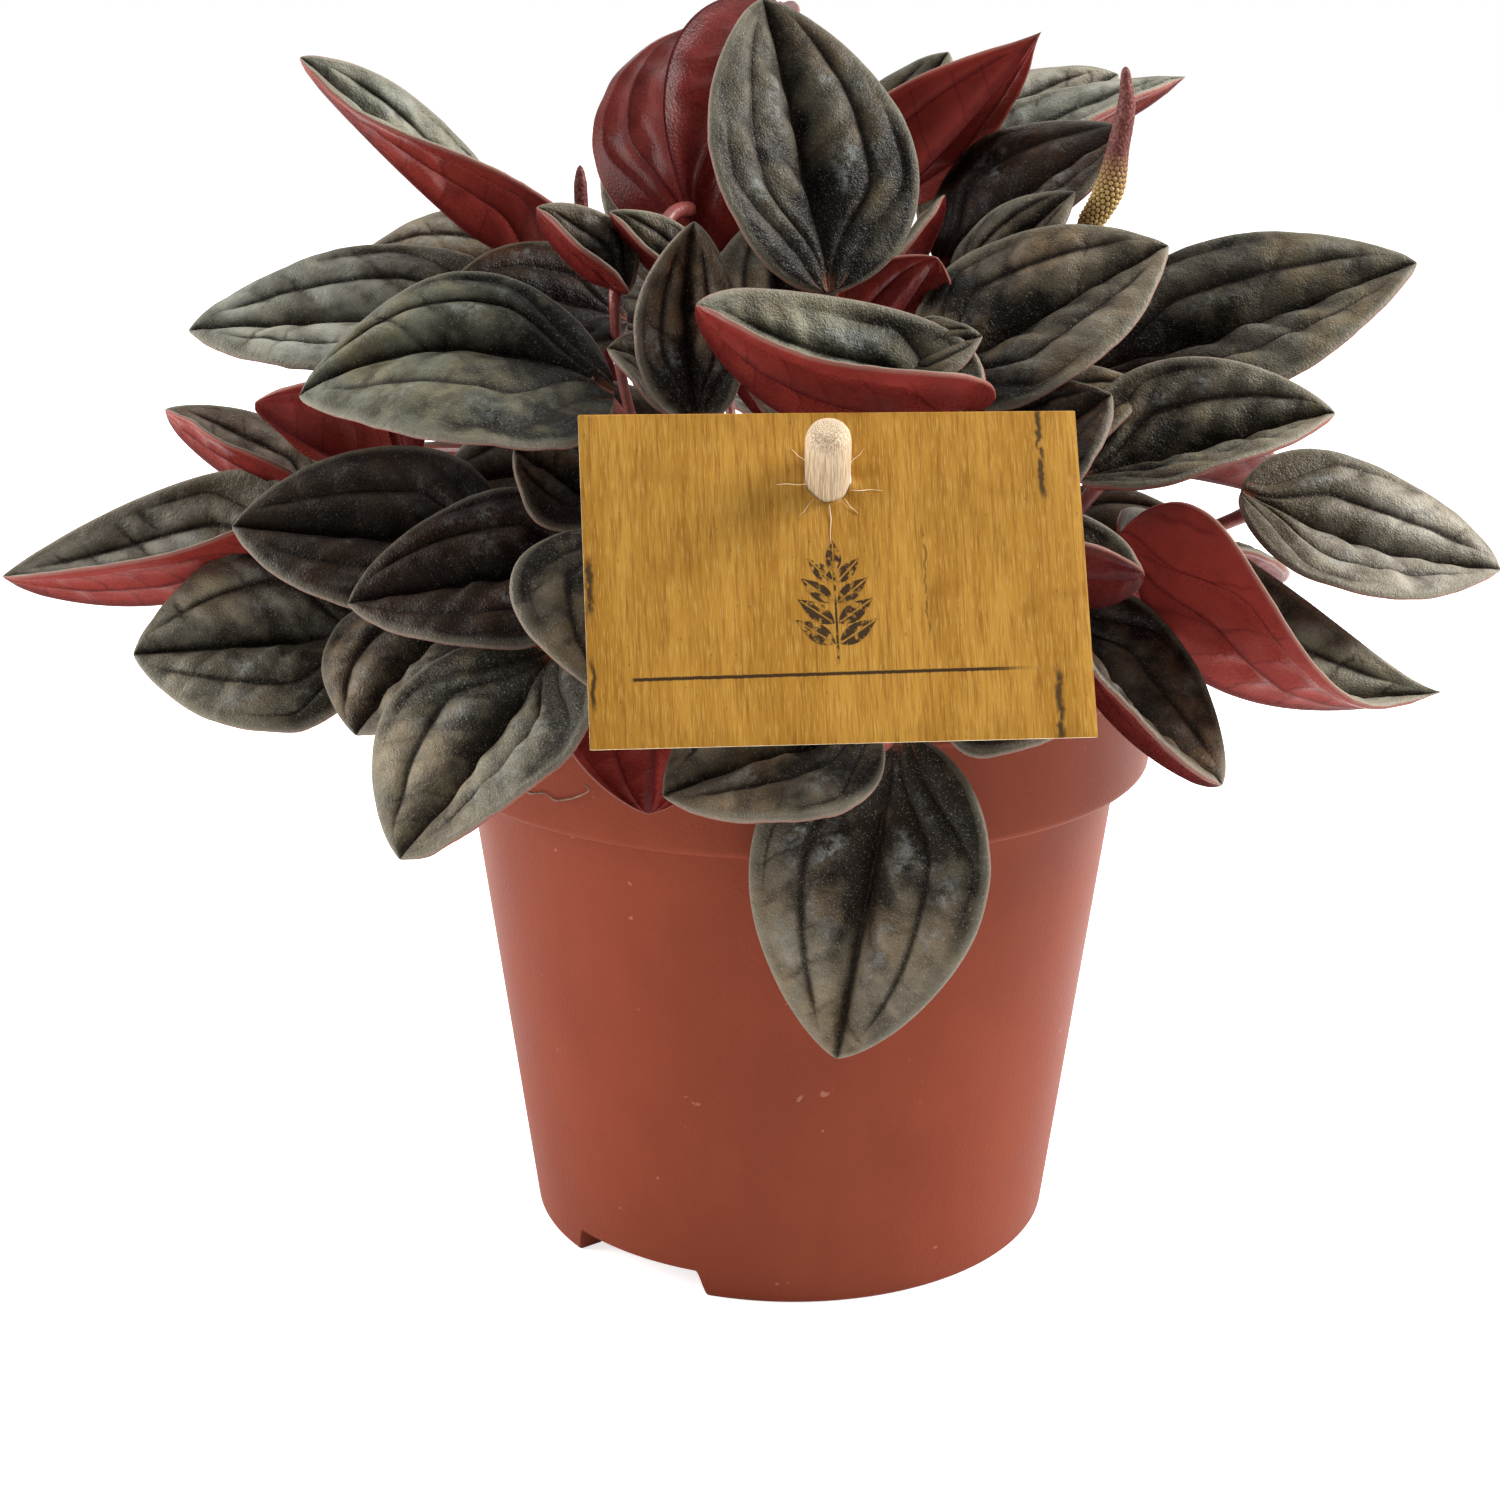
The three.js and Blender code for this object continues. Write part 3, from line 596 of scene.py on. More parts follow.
# Down the left side, along the front, over the top and down the right side, then a few in
# between and, from the 39th on, the back.
LEAVES = [
    Leaf((-40, 12, 161), (-79, -5, 199), 28, -20, 0, 36, 0.9, skew=-0.22, twist=64, point=0.72, green=0.7),
    Leaf((-45, 30, 159.5), (-78, 30, 163), 26, -40, 2, 8, 0.65),
    Leaf((-46, 0, 159), (-99, -8, 156), 32, -34, 1, 5, 0.9, green=0.74),
    Leaf((-27, -42, 151), (-74, -45, 151), 38, -38, 7, 12, 0.45, bend=5, skew=-0.35, green=1.0),
    Leaf((-79, 0, 126), (-107, 5, 141), 26, -2, -2, 35, 1, green=0.1),
    Leaf((-62, -17, 135), (-85, -25, 147), 34, 32, 0, 15, 0.5),
    Leaf((-80, -10, 124), (-130, -18, 117), 36, -14, -6, 44, 1, point=0.9, green=0.4),
    Leaf((-44, -40, 127.5), (-86, -42, 130.5), 33, -40, 1, 6, 0, green=0.75),
    Leaf((-68, -25, 109), (-106, -30, 107), 36, -46, 2, 6, 0.7),
    Leaf((-26, -52, 128), (-66, -57, 122), 31, -36, 1.5, 6, 0, green=0.29),
    Leaf((-52, -34, 115), (-67, -50, 99.5), 39, 0, 2, 5, 0.4, green=0.32),
    Leaf((-34.5, -65, 116.5), (-55, -86, 92), 40, 0, 1, 10, 0.65),
    Leaf((-25, -63, 135), (-22, -82, 113), 33, 0, 2, 8, 0.4, green=0.41),
    Leaf((-20, -60, 117), (-21, -68, 93), 29, 160, 0, 10, 0.3),
    Leaf((12, -76, 109), (-18, -84, 101), 32, -28, 2, 8, 0.45, green=0.32),
    Leaf((16, -65, 105), (7, -70, 55), 36, -46, 3, 8, 0.55, green=0.41),
    Leaf((22, -61, 112), (43.5, -67, 109.5), 24, 41, 1, 8, 0, skew=0.1),
    Leaf((-15, 8, 167), (-3, 46, 207), 38, 168, -14, 14, 0.15, bend=5, point=0.65),
    Leaf((-13, 28, 160), (-33, 28, 182), 22, -60, 0, 5, 0.5),
    Leaf((5, -42, 166), (-5, -22, 208), 34, 0, 3, 12, 0.2, green=0.66),
    Leaf((6, 30, 170), (27, 40, 199), 28, 20, 0, 5, 0.5),
    Leaf((12, 15, 173), (39, -5, 203), 27, -28, 0, 18, 1, point=1.15),
    Leaf((28, 42, 173), (58, 48, 195), 30, 35, 2, 8, 0.9),
    Leaf((23, 30, 168), (68, 34, 195), 35, 10, 2, 22, 1, point=1, green=0.66),
    Leaf((24, -2, 165), (54.5, -2, 187.5), 31, 28, 3, 6, 0, skew=-0.15, green=0.2),
    Leaf((26, -18, 163), (44, -16, 179), 14, 40, 1, 10, 0.35),
    Leaf((20, -35, 151), (57, -30, 172), 32, 38, 2, 8, 0.4, green=0.38),
    Leaf((47, 0, 147), (101, -5, 167), 39, 34, 3, 8, 0.3, bend=2.5, green=0.68),
    Leaf((45, -30, 136), (84, -30, 146.5), 31, 30, 1, 28, 0.55),
    Leaf((28, -50, 139), (47, -48, 152), 24, 35, 1, 8, 0, green=0.41),
    Leaf((73, -14, 131), (114, -22, 120), 32, 30, 1, 12, 1, bend=4, green=0.4),
    Leaf((50, -42, 130), (102, -38, 104), 46, 10, -11, 38, 0.8, twist=-56, point=1.2),
    Leaf((34, -60, 130), (51, -62, 128), 26, 0, -3, 45, 0.1),
    Leaf((40.5, -50, 121), (64, -62, 96), 34, 0, -3, 26, 0.15, green=0.0),
    Leaf((-26, -22, 164), (-40, -22, 177), 18, -20, -1, 38, 0.45, green=0.32),
    Leaf((-14, -45, 147), (-15, -36, 176), 17, 0, 1, 15, 0.35, bend=-1.5, green=0.05),
    Leaf((28, -52, 151), (-14, -56, 166), 39, -16, -8, 44, 0.65, skew=-0.05, twist=12, green=0.75),
    Leaf((-27, -11, 158), (-55, -17, 164), 28, -30, 2, 6, 0, green=0.1),
    Leaf((0, 62, 128), (3, 108, 116), 37, 5, 5, 10, 0.5),
    Leaf((30, 60, 126), (56, 98, 112), 36, -10, 4, 12, 0.6),
    Leaf((-30, 60, 127), (-54, 100, 114), 36, 10, 4, 8, 0.45),
    Leaf((54, 42, 128), (94, 66, 116), 36, 0, 3, 20, 0.45),
    Leaf((-46, 40, 128), (-88, 62, 114), 36, 0, 3, 14, 0.5),
    Leaf((62, 30, 114), (92, 52, 100), 34, 8, 3, 12, 0.4),
    Leaf((-70, 22, 118), (-108, 34, 106), 34, -8, 3, 10, 0.55),
    Leaf((2, 42, 158), (6, 88, 162), 36, 0, 4, 15, 0.6),
    Leaf((34, 38, 152), (68, 72, 154), 35, 5, 4, 10, 0.5),
    Leaf((-26, 44, 152), (-52, 82, 154), 35, -5, 4, 12, 0.6),
    Leaf((54, 24, 142), (92, 36, 144), 34, 10, 3, 8, 0.4),
    Leaf((-54, 24, 140), (-90, 36, 140), 34, -8, 3, 10, 0.5),
    Leaf((14, 70, 106), (22, 96, 80), 33, 0, 3, 8, 0.5),
    Leaf((-21, 67, 107), (-36, 90, 82), 33, 0, 3, 8, 0.4),
    Leaf((50, 46, 108), (68, 64, 84), 33, 0, 3, 8, 0.55),
]


def panel_columns(v1, v2, half, cells):
    """Positions from the midrib (0) to the edge (1), close together at veins and at the edge."""
    inner, outer, flat = cells
    ease_in = (1 - np.cos(np.linspace(0, math.pi, inner + 1))) / 2
    ease_out = (1 - np.cos(np.linspace(0, math.pi, outer + 1))) / 2
    rim = np.minimum(0.9, 0.6 * (1 - v2) * half)
    last = 1 - rim * RIM_COLUMNS / np.maximum(half, 1e-3)
    middle = v2 + (last[:, :1] - v2) * np.linspace(0, 1, flat + 1)[1:-1]
    return np.concatenate([v1 * ease_in, v1 + (v2 - v1) * ease_out[1:], middle, last], 1)


def pillow(u, near, far):
    """A puffed panel's section: steep by the vein where the power is high."""
    u = np.clip(u, 0, 1)
    return (1 - (1 - u) ** near) * (1 - u ** far)


def half_blade(leaf, s, side, cells, chance, seed, steepness):
    """One half of a blade, from the midrib to its edge: how far both faces stand off the middle
    surface, and the values that colour them."""
    half = leaf.half_width(s)
    opening = ease((s - 0.05) / 0.3)
    inner_runs = 1 - ease((s - FIRST_FADE[0]) / FIRST_FADE[1])
    outer_runs = 1 - ease((s - SECOND_FADE[0]) / SECOND_FADE[1])
    v1 = (FIRST_VEIN + VEIN_WAVER * chance.uniform(-1, 1)) * (0.16 + 0.84 * opening)
    v1 = v1 * (1 + VEIN_WAVER * np.sin(s * 6 + chance.uniform(0, 6)))
    v2 = SECOND_VEIN * (0.4 + 0.6 * opening) + 0.015 * np.sin(s * 9 + chance.uniform(0, 6))
    a = panel_columns(v1, v2, half, cells)
    mm = a * half
    edge = (1 - a) * half

    def uneven(layer, size):
        """Smooth lumps of that size over the blade, different in each layer."""
        return lumps(np.stack([s * leaf.length + 0 * a, mm * side, 0 * a + layer], -1), size)

    # the branch veins make a dent across the panels wherever the phase is a whole number
    veins = 4 + int(leaf.length / BRANCH_GAP)
    phase = veins * (s - BRANCH_LEAN * mm / leaf.length) + chance.uniform(0, 1)
    phase = phase + 0.12 * np.sin(3 * phase + chance.uniform(0, 6)) + 0.35 * (side > 0)
    strength = chance.uniform(0.3, 1.0, 64)[np.round(phase).astype(int) % 64]
    near = np.abs(phase - np.round(phase)) * leaf.length / veins * 0.8
    dent = strength * np.exp(-(near / DENT_WIDTH) ** 2)

    # the upper face's panels, the outer two of which become one where the second vein runs out
    u1 = a / v1
    u2 = (a - v1) / (v2 - v1)
    u3 = (a - v2) / (1 - v2)
    first = v1 * half * PILLOW * (1 + 0.28 * uneven(seed, 9)) * pillow(u1, steepness, 3.6)
    first = first * (1 - 0.75 * dent * (1 - 0.3 * u1))
    second = (v2 - v1) * half * PILLOW * 0.92 * pillow(u2, 7, 3.0)
    third = (1 - v2) * half * 0.16 * pillow(u3, 5, 3)
    whole = (1 - v1) * half * PILLOW * 0.8 * pillow((a - v1) / (1 - v1), 6, 2.0)
    second = whole + (np.where(u2 <= 1, second, third) - whole) * outer_runs
    second = second * (1 - 0.7 * dent)
    plain = half * PILLOW * 0.45 * pillow(a, 5, 2.0)
    top = plain + (np.where(u1 <= 1, first, second) - plain) * inner_runs

    # the underside follows more softly
    soft_first = 0.85 * v1 * np.sin(math.pi * np.clip(u1, 0, 1))
    soft_second = 0.7 * (v2 - v1) * np.sin(math.pi * np.clip(u2, 0, 1))
    under = half * PILLOW * np.where(u1 <= 1, soft_first, soft_second)

    # the fold and the sunken midrib, waves at the edge and small bumps all over
    valley = half * SECTION * (0.4 * np.sin(math.pi * a) - 1.1 * np.exp(-a / 0.28)) * opening
    ridge = np.exp(-(mm / 0.8) ** 2) * np.minimum(half, 6) / 6
    base_drop = 0.3 * v1 * half * PILLOW
    fade = np.clip(half / 4, 0, 1)
    waves = 0.35 * a ** 4 * np.sin(s * 11 + chance.uniform(0, 6)) * fade
    bumps = 0.3 * (uneven(7 * seed, 4.2) + 0.35 * uneven(-seed, 1.7)) * fade * np.minimum(a * 3, 1)
    top = top - base_drop - 0.35 * ridge + valley + waves + bumps
    under = np.minimum(under - base_drop - 0.7 * ridge + valley + waves + bumps * 0.6, top)

    # the two faces meet in a rounded edge
    join = np.clip(edge / EDGE_ROUND, 0, 1)
    under = top + (under - top) * join
    thick = BLADE_HALF * np.sqrt(1 - (1 - join) ** 2) * np.clip(half / 3, 0.3, 1)
    furrow = np.minimum(mm, np.abs(a - v1) * half * 1.15 + 0.12 + 2 * (1 - inner_runs))
    furrow = np.minimum(furrow, np.abs(a - v2) * half * 1.6 + 0.35 + 2 * (1 - outer_runs))
    puff = np.clip((top + base_drop) / (PILLOW * 0.5 * leaf.width / 2), 0, 1)
    return {"t": a * side, "top": top + thick, "under": under - thick, "furrow": furrow, "edge": edge,
            "branch": phase, "branch_gain": strength, "puff": puff}


def add_leaf(leaf, shape, seed, fine):
    """Adds one leaf to the shape: the quilted blade and its petiole."""
    chance = np.random.default_rng(seed)
    row_count, cells = FINE_GRID if fine else PLAIN_GRID
    s = leaf.rows(row_count)
    steep_side = 1 if chance.random() < 0.5 else -1
    left, right = [
        half_blade(leaf, s, side, cells, chance, seed, 6 if side == steep_side else 3)
        for side in (-1, 1)]
    sheet = {key: np.concatenate([left[key][:, ::-1], right[key][:, 1:]], 1) for key in left}
    middle = leaf.surface(s, sheet["t"])
    outwards = leaf.outwards(s, sheet["t"])
    upper = middle + outwards * sheet["top"][..., None]
    lower = middle + outwards * sheet["under"][..., None]
    rings = np.concatenate([upper, lower[:, -2:0:-1]], 1)
    start = leaf.surface(np.array(0.0), np.array(0.0))
    end = leaf.surface(np.array(1.0), np.array(0.0))
    count = rings.shape[1]
    faces = np.where(np.arange(count) < sheet["t"].shape[1] - 1, TOP, UNDER)

    def over_skin(values):
        whole = np.concatenate([values, values[:, -2:0:-1]], 1)
        return np.concatenate([[whole[0].mean()], whole.ravel(), [whole[-1].mean()]])

    carried = {key: over_skin(sheet[key]) for key in ("furrow", "edge", "branch", "branch_gain", "puff")}
    shape.add(*skin(start, rings, end), np.tile(faces, len(rings) - 1), np.tile(faces, 2),
              **carried, along=capped(np.repeat(s, count), 1), tone=leaf.tone, green=leaf.green)
    add_petiole(leaf, shape)


def tube(path, radii, sides):
    """A round tube along a path of points."""
    path = np.asarray(path, float)
    heading = unit(np.gradient(path, axis=0))
    side = unit(np.cross(heading[0], [0.3, 0.9, 0.1]))
    turns = around(sides)[:, None]
    rings = []
    for point, ahead, radius in zip(path, heading, radii):
        side = unit(side - ahead * np.dot(side, ahead))
        other = np.cross(ahead, side)
        rings.append(point + radius * (np.cos(turns) * side + np.sin(turns) * other))
    return skin(path[0], rings, path[-1])


def add_petiole(leaf, shape):
    """The stalk below the blade, further out on the crown for a blade further from the middle."""
    join = leaf.surface(np.array(PETIOLE_JOIN), np.array(0.0)) - 0.9 * leaf.up
    outward = np.array([join[0], join[1], 0])
    reach = np.linalg.norm(outward)
    outward = outward / reach
    start = outward * np.clip(0.3 * reach, 3, 20) + PETIOLE_FOOT
    span = np.linalg.norm(join - start)
    leave = start + unit(UPWARD + 0.012 * reach * outward) * 0.4 * span
    arrive = join - unit(0.6 * leaf.along + 0.8 * leaf.up) * 0.35 * span
    u = np.linspace(0, 1, 26)[:, None]
    path = (1 - u) ** 3 * start + 3 * u * (1 - u) ** 2 * leave
    path = path + 3 * u * u * (1 - u) * arrive + u ** 3 * join
    radius = PETIOLE_RADIUS * (0.7 if leaf.width < NARROW_LEAF else 1)
    swell = 1 + 0.25 * np.exp(-((u[:, 0] - 1) / 0.06) ** 2)
    radii = radius * (1 - 0.25 * u[:, 0]) * swell
    shape.add(*tube(path, radii, PETIOLE_SIDES), STALK, STALK,
              along=capped(np.repeat(u, PETIOLE_SIDES), 1), tone=leaf.tone)


def off_branch(finish, waver, *noise):
    """How far a point is from the nearest branch vein, as a share of their spacing."""
    phase = (finish.noise(*noise) - 0.5) * waver + finish.value("branch")
    return (phase - phase.math("ROUND")).math("ABSOLUTE")


# The upper face is dark brown on a young leaf and silver on an old one. It is paler on its puffs
# and darker in the hollows between them, a painted light and painted shade, and paler towards its
# tip, partly its own colour and partly painted shade over the base.
upper = Finish("leaf_upper_face", 0.45, 0.13)
blotch, speckle, velvet = upper.grain(0.0035, 0.00032)
furrow = upper.value("furrow")
edge = upper.value("edge")
along = upper.value("along")
# the tone is partly each leaf's own colour and partly painted shade, lower for leaves in the shade of
# others
tone = upper.value("tone")
puff = upper.value("puff")
# painted light on the puffs, painted shade in the hollows between them and towards the base
share = puff * 0.46 - 0.46 + along.step(0.15, 0.85) * 0.56 + blotch * 0.24
share = share.math("ADD", upper.noise(90, 3, 0.6).step(0.40, 0.60) * 0.44, clamp=True)
dark_end = tone.math("POWER", 3.0).mix((0.0040, 0.0021, 0.0015), (0.080, 0.073, 0.051))
pale_end = tone.math("POWER", 0.8).mix((0.034, 0.021, 0.013), (0.325, 0.297, 0.217))
pale_end = tone.step(0.6, 1.0).mix(pale_end, (0.375, 0.368, 0.315))
upper.colour = share.mix(dark_end, pale_end)
warm = upper.noise(70, 3, 0.6).step(0.46, 0.62) * (tone * -0.75 + 0.9)
upper.cover(warm, (1.16, 0.92, 0.66), "MULTIPLY")
hue = upper.value("green").mix((1.10, 0.90, 0.84), (0.93, 1.06, 1.08))
upper.cover(1.0, hue, "MULTIPLY")
# painted glints: silver highlights painted on the puffs, then the dark veins
painted_glints = upper.noise(120, 3, 0.6).step(0.46, 0.64) * puff.step(0.2, 0.8)
painted_glints = painted_glints * upper.noise(700, 4, 0.7).step(0.42, 0.62) * (tone * 0.35 + 0.30)
upper.cover(painted_glints, (0.290, 0.325, 0.330))
ragged_furrow = (upper.noise(900) - 0.5) * 0.6 + furrow
upper.cover(ragged_furrow.step(0.1, 1.2, 0.85, 0), (0.012, 0.007, 0.005))
branches = off_branch(upper, 0.8, 300, 4, 0.6).step(0, 0.15, 1, 0) * upper.value("branch_gain")
branches = branches * upper.noise(170).step(0.38, 0.56)
inside = edge.step(1.0, 3.0) * along.step(0.15, 0.45) * furrow.step(1.0, 5.0, 1, 0.35)
upper.cover(branches * inside * 0.85, (0.014, 0.008, 0.006))
# the pale margin, fine flecks, and the reddish spot where the petiole joins
upper.cover(edge.step(0.3, 1.7, 1, 0) * (tone * 0.4 + 0.35), (0.200, 0.185, 0.140))
upper.cover(edge.step(0, 0.35, 0.4, 0), (0.30, 0.23, 0.185))
upper.cover(upper.noise(3600, 1).step(0.60, 0.74) * (tone * 0.3 + 0.12), (0.42, 0.42, 0.38))
heart = along.step(0.02, 0.075, 1, 0) * edge.step(1.0, 3.0) * furrow.step(0.2, 0.9, 0.6, 0)
upper.cover(heart, (0.26, 0.10, 0.06))
leaf_upper = upper.wire(upper.noise(750, 3, 0.6) * 2.2 + velvet, 0.00012, speckle * 0.16 + 0.40)

under = Finish("leaf_under_face", 0.4, 0.06)
blotch, speckle, smooth_grain = under.grain(0.007, 0.0005)
furrow = (under.noise(500) - 0.5) * 0.8 + under.value("furrow")
edge = under.value("edge")
tone = under.value("tone")
share = (tone * 0.9 - 0.1).math("ADD", blotch * 0.3, clamp=True)
under.colour = share.mix((0.060, 0.0055, 0.0048), (0.265, 0.036, 0.028))
under.cover(speckle * 0.2, (0.24, 0.030, 0.024))
under.cover(furrow.step(0.2, 1.0, 0.6, 0), (0.05, 0.005, 0.007))
branches = off_branch(under, 0.22, 260).step(0.01, 0.07, 0.35, 0) * edge.step(0.8, 2.2)
under.cover(branches, (0.06, 0.005, 0.006))
# leaves of the lowest tone get a near-black underside: partly their own colour, partly painted shade
under.cover(tone.step(0.02, 0.2, 0.75, 0), (0.025, 0.006, 0.006))
under.cover(edge.step(0.1, 0.6, 0.7, 0), (0.28, 0.14, 0.115))
leaf_under = under.wire(branches * 0.8 + smooth_grain, 0.00005, speckle * 0.1 + 0.26)

stalk = Finish("petiole", 0.4)
blotch, _, stalk_grain = stalk.grain(0.005, 0.0005)
stalk.colour = blotch.mix((0.17, 0.035, 0.03), (0.30, 0.085, 0.065))
stalk.cover(stalk.value("along").step(0.75, 1.0, 0, 0.5), (0.20, 0.03, 0.03))
leaf_finishes = [leaf_upper, leaf_under, stalk.wire(stalk_grain, 0.0001)]

for number, leaf in enumerate(LEAVES):
    leaf_name = f"leaf_{number + 1:02d}"
    leaf_shape = Shape()
    add_leaf(leaf, leaf_shape, 100 + number, number < FINELY_MADE)
    settle(leaf_shape.build(leaf_name + "_blade", leaf_finishes), leaf_name)

# ---- Crown ----
# The clump of short reddish stems at soil level that every petiole comes from, with the
# youngest leaves still close to it.
YOUNG_LEAVES = [
    Leaf((-16, -20, 163), (-29, -18, 176), 15, -20, 0, 38, 0.4),
    Leaf((16, -43, 155), (28, -44, 160), 13, 40, 1, 5, 0.3),
    Leaf((0, -34, 144), (-10, -42, 156), 16, -30, 0, 5, 0.3),
    Leaf((11, -20, 152), (22, -28, 170), 20, -60, 0, 10, 0.3),
    Leaf((-15, -25, 147), (-29, -28, 156), 22, -30, 2, 6, 0.2),
    Leaf((-29, -45, 134), (-42, -45, 143), 20, -40, 1, 6, 0.2),
    Leaf((-18, -18, 140), (-57, -24, 133), 30, -40, 1, 6, 0.1),
    Leaf((12, -5, 153), (24, -9, 178), 26, 10, 1, 6, 0.3),
    Leaf((30, -18, 138), (56, -22, 149), 24, 35, 1, 6, 0.3),
    Leaf((-12, 6, 148), (-36, 0, 160), 24, -30, 1, 6, 0.3),
    Leaf((36, -14, 120), (64, -18, 127), 24, 30, 1, 6, 0.3),
    Leaf((-2, 4, 150), (-4, 10, 174), 26, 0, 1, 6, 0.3),
]
FINELY_MADE_YOUNG = 6
STUMP = 3  # the material slot after those of a leaf
STUMPS = 34
STUMP_SPREAD = 21
STUMP_FOOT = 94
CLUMP_FOOT = 86
CLUMP_TOP = 105.2
CLUMP_CENTRE = [0, 0, 92]
CLUMP = [(8, CLUMP_FOOT, 0), (18, CLUMP_FOOT, 1), (24, 95, 2.5), (21, 100, 2), (13, 103.5, 3),
         (7, 104.6, 0), (3, 105, 0)]

crown_shape = Shape()
clump = np.array(turned_rings(rounded(CLUMP, 3), 72))
clump += unit(clump - CLUMP_CENTRE) * (1.1 * lumps(clump, 5) + 0.5 * lumps(clump + 5, 2))[..., None]
crown_shape.add(*skin((0, 0, CLUMP_FOOT), clump, (0, 0, CLUMP_TOP)), STUMP, STUMP)
for _ in range(STUMPS):
    radius = STUMP_SPREAD * math.sqrt(rng.random())
    angle = rng.uniform(0, math.tau)
    foot = np.array([radius * math.cos(angle), radius * math.sin(angle), STUMP_FOOT])
    lean = np.array([math.cos(angle), math.sin(angle), 0]) * radius * 0.012
    tall = rng.uniform(10, 17)
    u = np.linspace(0, 1, 9)
    path = foot + u[:, None] * tall * (lean + UPWARD) + lean * (u ** 2)[:, None] * 6
    radii = rng.uniform(1.1, 1.9) * np.interp(u, [0, 0.8, 0.93, 1], [1.2, 1, 0.85, 0.3])
    crown_shape.add(*tube(path, radii, 10), STUMP, STUMP)
for number, leaf in enumerate(YOUNG_LEAVES):
    add_leaf(leaf, crown_shape, 300 + number, number < FINELY_MADE_YOUNG)

stumps = Finish("crown_stems", 0.6)
blotch, speckle, bark = stumps.grain(0.004, 0.0007)
stumps.colour = blotch.mix((0.07, 0.025, 0.018), (0.19, 0.07, 0.045))
stumps.cover(speckle * 0.3, (0.28, 0.17, 0.10))
crown_finishes = [*leaf_finishes, stumps.wire(bark, 0.0003)]
settle(crown_shape.build("crown_clump", crown_finishes), "crown")

# ---- Flower spikes ----
# Two thin upright spikes on long red stalks. The older one, at the right, is covered in tiny
# buds, and its lower half has opened and turned yellow; the young one is still smooth.
RIGHT_SPIKE = [(12, 2, 98, 1.2), (30, 0, 130, 1.1), (40.5, -14, 160, 1.0), (45.3, -15, 172.6, 1.0),
               (46.6, -15, 174.2, 1.75), (49.5, -15, 179.4, 2.1), (50.6, -15, 185.6, 1.75),
               (51.6, -15, 192, 1.4), (51.2, -15, 197.9, 0.6)]
LEFT_SPIKE = [(-10, 3, 98, 1.1), (-24, 3, 130, 1.0), (-33, 0, 158, 0.9), (-34.5, 0, 170, 0.9),
              (-34.7, 0, 172, 1.2), (-35, 0, 179, 1.1), (-35, 0, 182, 0.5)]
STALK_END = 3  # the station, a point of the middle line with its radius, where the spike begins
STALK_STEPS = 50
SPIKE_TIP = 1.1  # length of the rounded tip
OPEN_SHARE = 0.52  # of the spike
BUD = 0.78  # spacing of the rows of buds
BUDS_AROUND = 15
BUD_LIFT = 0.07  # height of a closed bud, where the spike has its widest radius
OPEN_LIFT = 0.32  # what an open bud has more
WIDEST = 1.9


def smooth_path(stations, run, at):
    """A smooth line through stations that lie at the distances run, read at other distances."""
    slope = np.gradient(stations, run, axis=0)
    k = np.clip(np.searchsorted(run, at, "right") - 1, 0, len(run) - 2)
    gap = (run[k + 1] - run[k])[:, None]
    u = (at - run[k])[:, None] / gap
    line = (2 * u ** 3 - 3 * u ** 2 + 1) * stations[k] + (u ** 3 - 2 * u ** 2 + u) * gap * slope[k]
    return line + (3 * u ** 2 - 2 * u ** 3) * stations[k + 1] + (u ** 3 - u ** 2) * gap * slope[k + 1]


def bud_height(turn, distance):
    """Domes packed in staggered rows: 1 at the middle of a bud, 0 between buds."""
    best = 0
    for shift in (-1, 0, 1):
        row = np.floor(distance / BUD) + shift
        across = turn / math.tau * BUDS_AROUND + 0.5 * (row % 2)
        off = across - np.floor(across) - 0.5
        ahead = (distance / BUD - row - 0.5) * 0.87
        best = np.maximum(best, np.sqrt(np.clip(1 - (off ** 2 + ahead ** 2) / 0.23, 0, 1)))
    return best


def spike_shape(stations, ripe, sides, body_step):
    """A stalk and its spike, with open and closed buds where it is ripe."""
    stations = np.array(stations, float)
    run = running_length(stations[:, :3])
    body = run[STALK_END]
    at = np.concatenate([np.linspace(0, body, STALK_STEPS, endpoint=False),
                         np.arange(body, run[-1] - 0.05, body_step), [run[-1]]])
    line = smooth_path(stations, run, at)[:, :3]
    radii = np.interp(at, run, stations[:, 3])
    radii = radii * np.sqrt(1 - 0.97 * np.clip(1 - (run[-1] - at) / SPIKE_TIP, 0, 1) ** 2)
    points, quads, triangles = tube(line, radii, sides)
    turns = np.tile(around(sides), len(at))
    distance = np.repeat(at - body, sides)
    opened = np.clip((OPEN_SHARE - distance / (run[-1] - body)) * 4, 0, 1) * ripe
    domes = bud_height(turns, distance) * (distance > 0) * ripe
    lift = domes * (BUD_LIFT + OPEN_LIFT * opened) * np.repeat(radii, sides) / WIDEST
    points[1:-1] += unit(points[1:-1] - np.repeat(line, sides, axis=0)) * lift[:, None]
    shape = Shape()
    shape.add(points, quads, triangles, bud=capped(domes), opened=capped(opened),
              body=capped(distance > 0, 1))
    return shape


spike = Finish("flower_spike", 0.5, 0.2)
blotch, speckle, pimples = spike.grain(0.003, 0.00045)
stalk_colour = blotch.mix((0.14, 0.02, 0.025), (0.26, 0.06, 0.06))
mauve = speckle.mix((0.105, 0.026, 0.023), (0.22, 0.075, 0.065))
cream = spike.value("bud").step(0.1, 0.75).mix((0.09, 0.030, 0.017), (0.53, 0.36, 0.125))
bud_colour = spike.value("opened").mix(mauve, cream)
spike.colour = spike.value("body").mix(stalk_colour, bud_colour)
spike_skin = spike.wire(pimples, 0.00015)
for stations, ripe, sides, body_step, which in (
        (RIGHT_SPIKE, 1, 84, 0.12, "right"), (LEFT_SPIKE, 0, 32, 0.4, "left")):
    built = spike_shape(stations, ripe, sides, body_step).build("spike_" + which, [spike_skin])
    settle(built, "flower_spike_" + which)

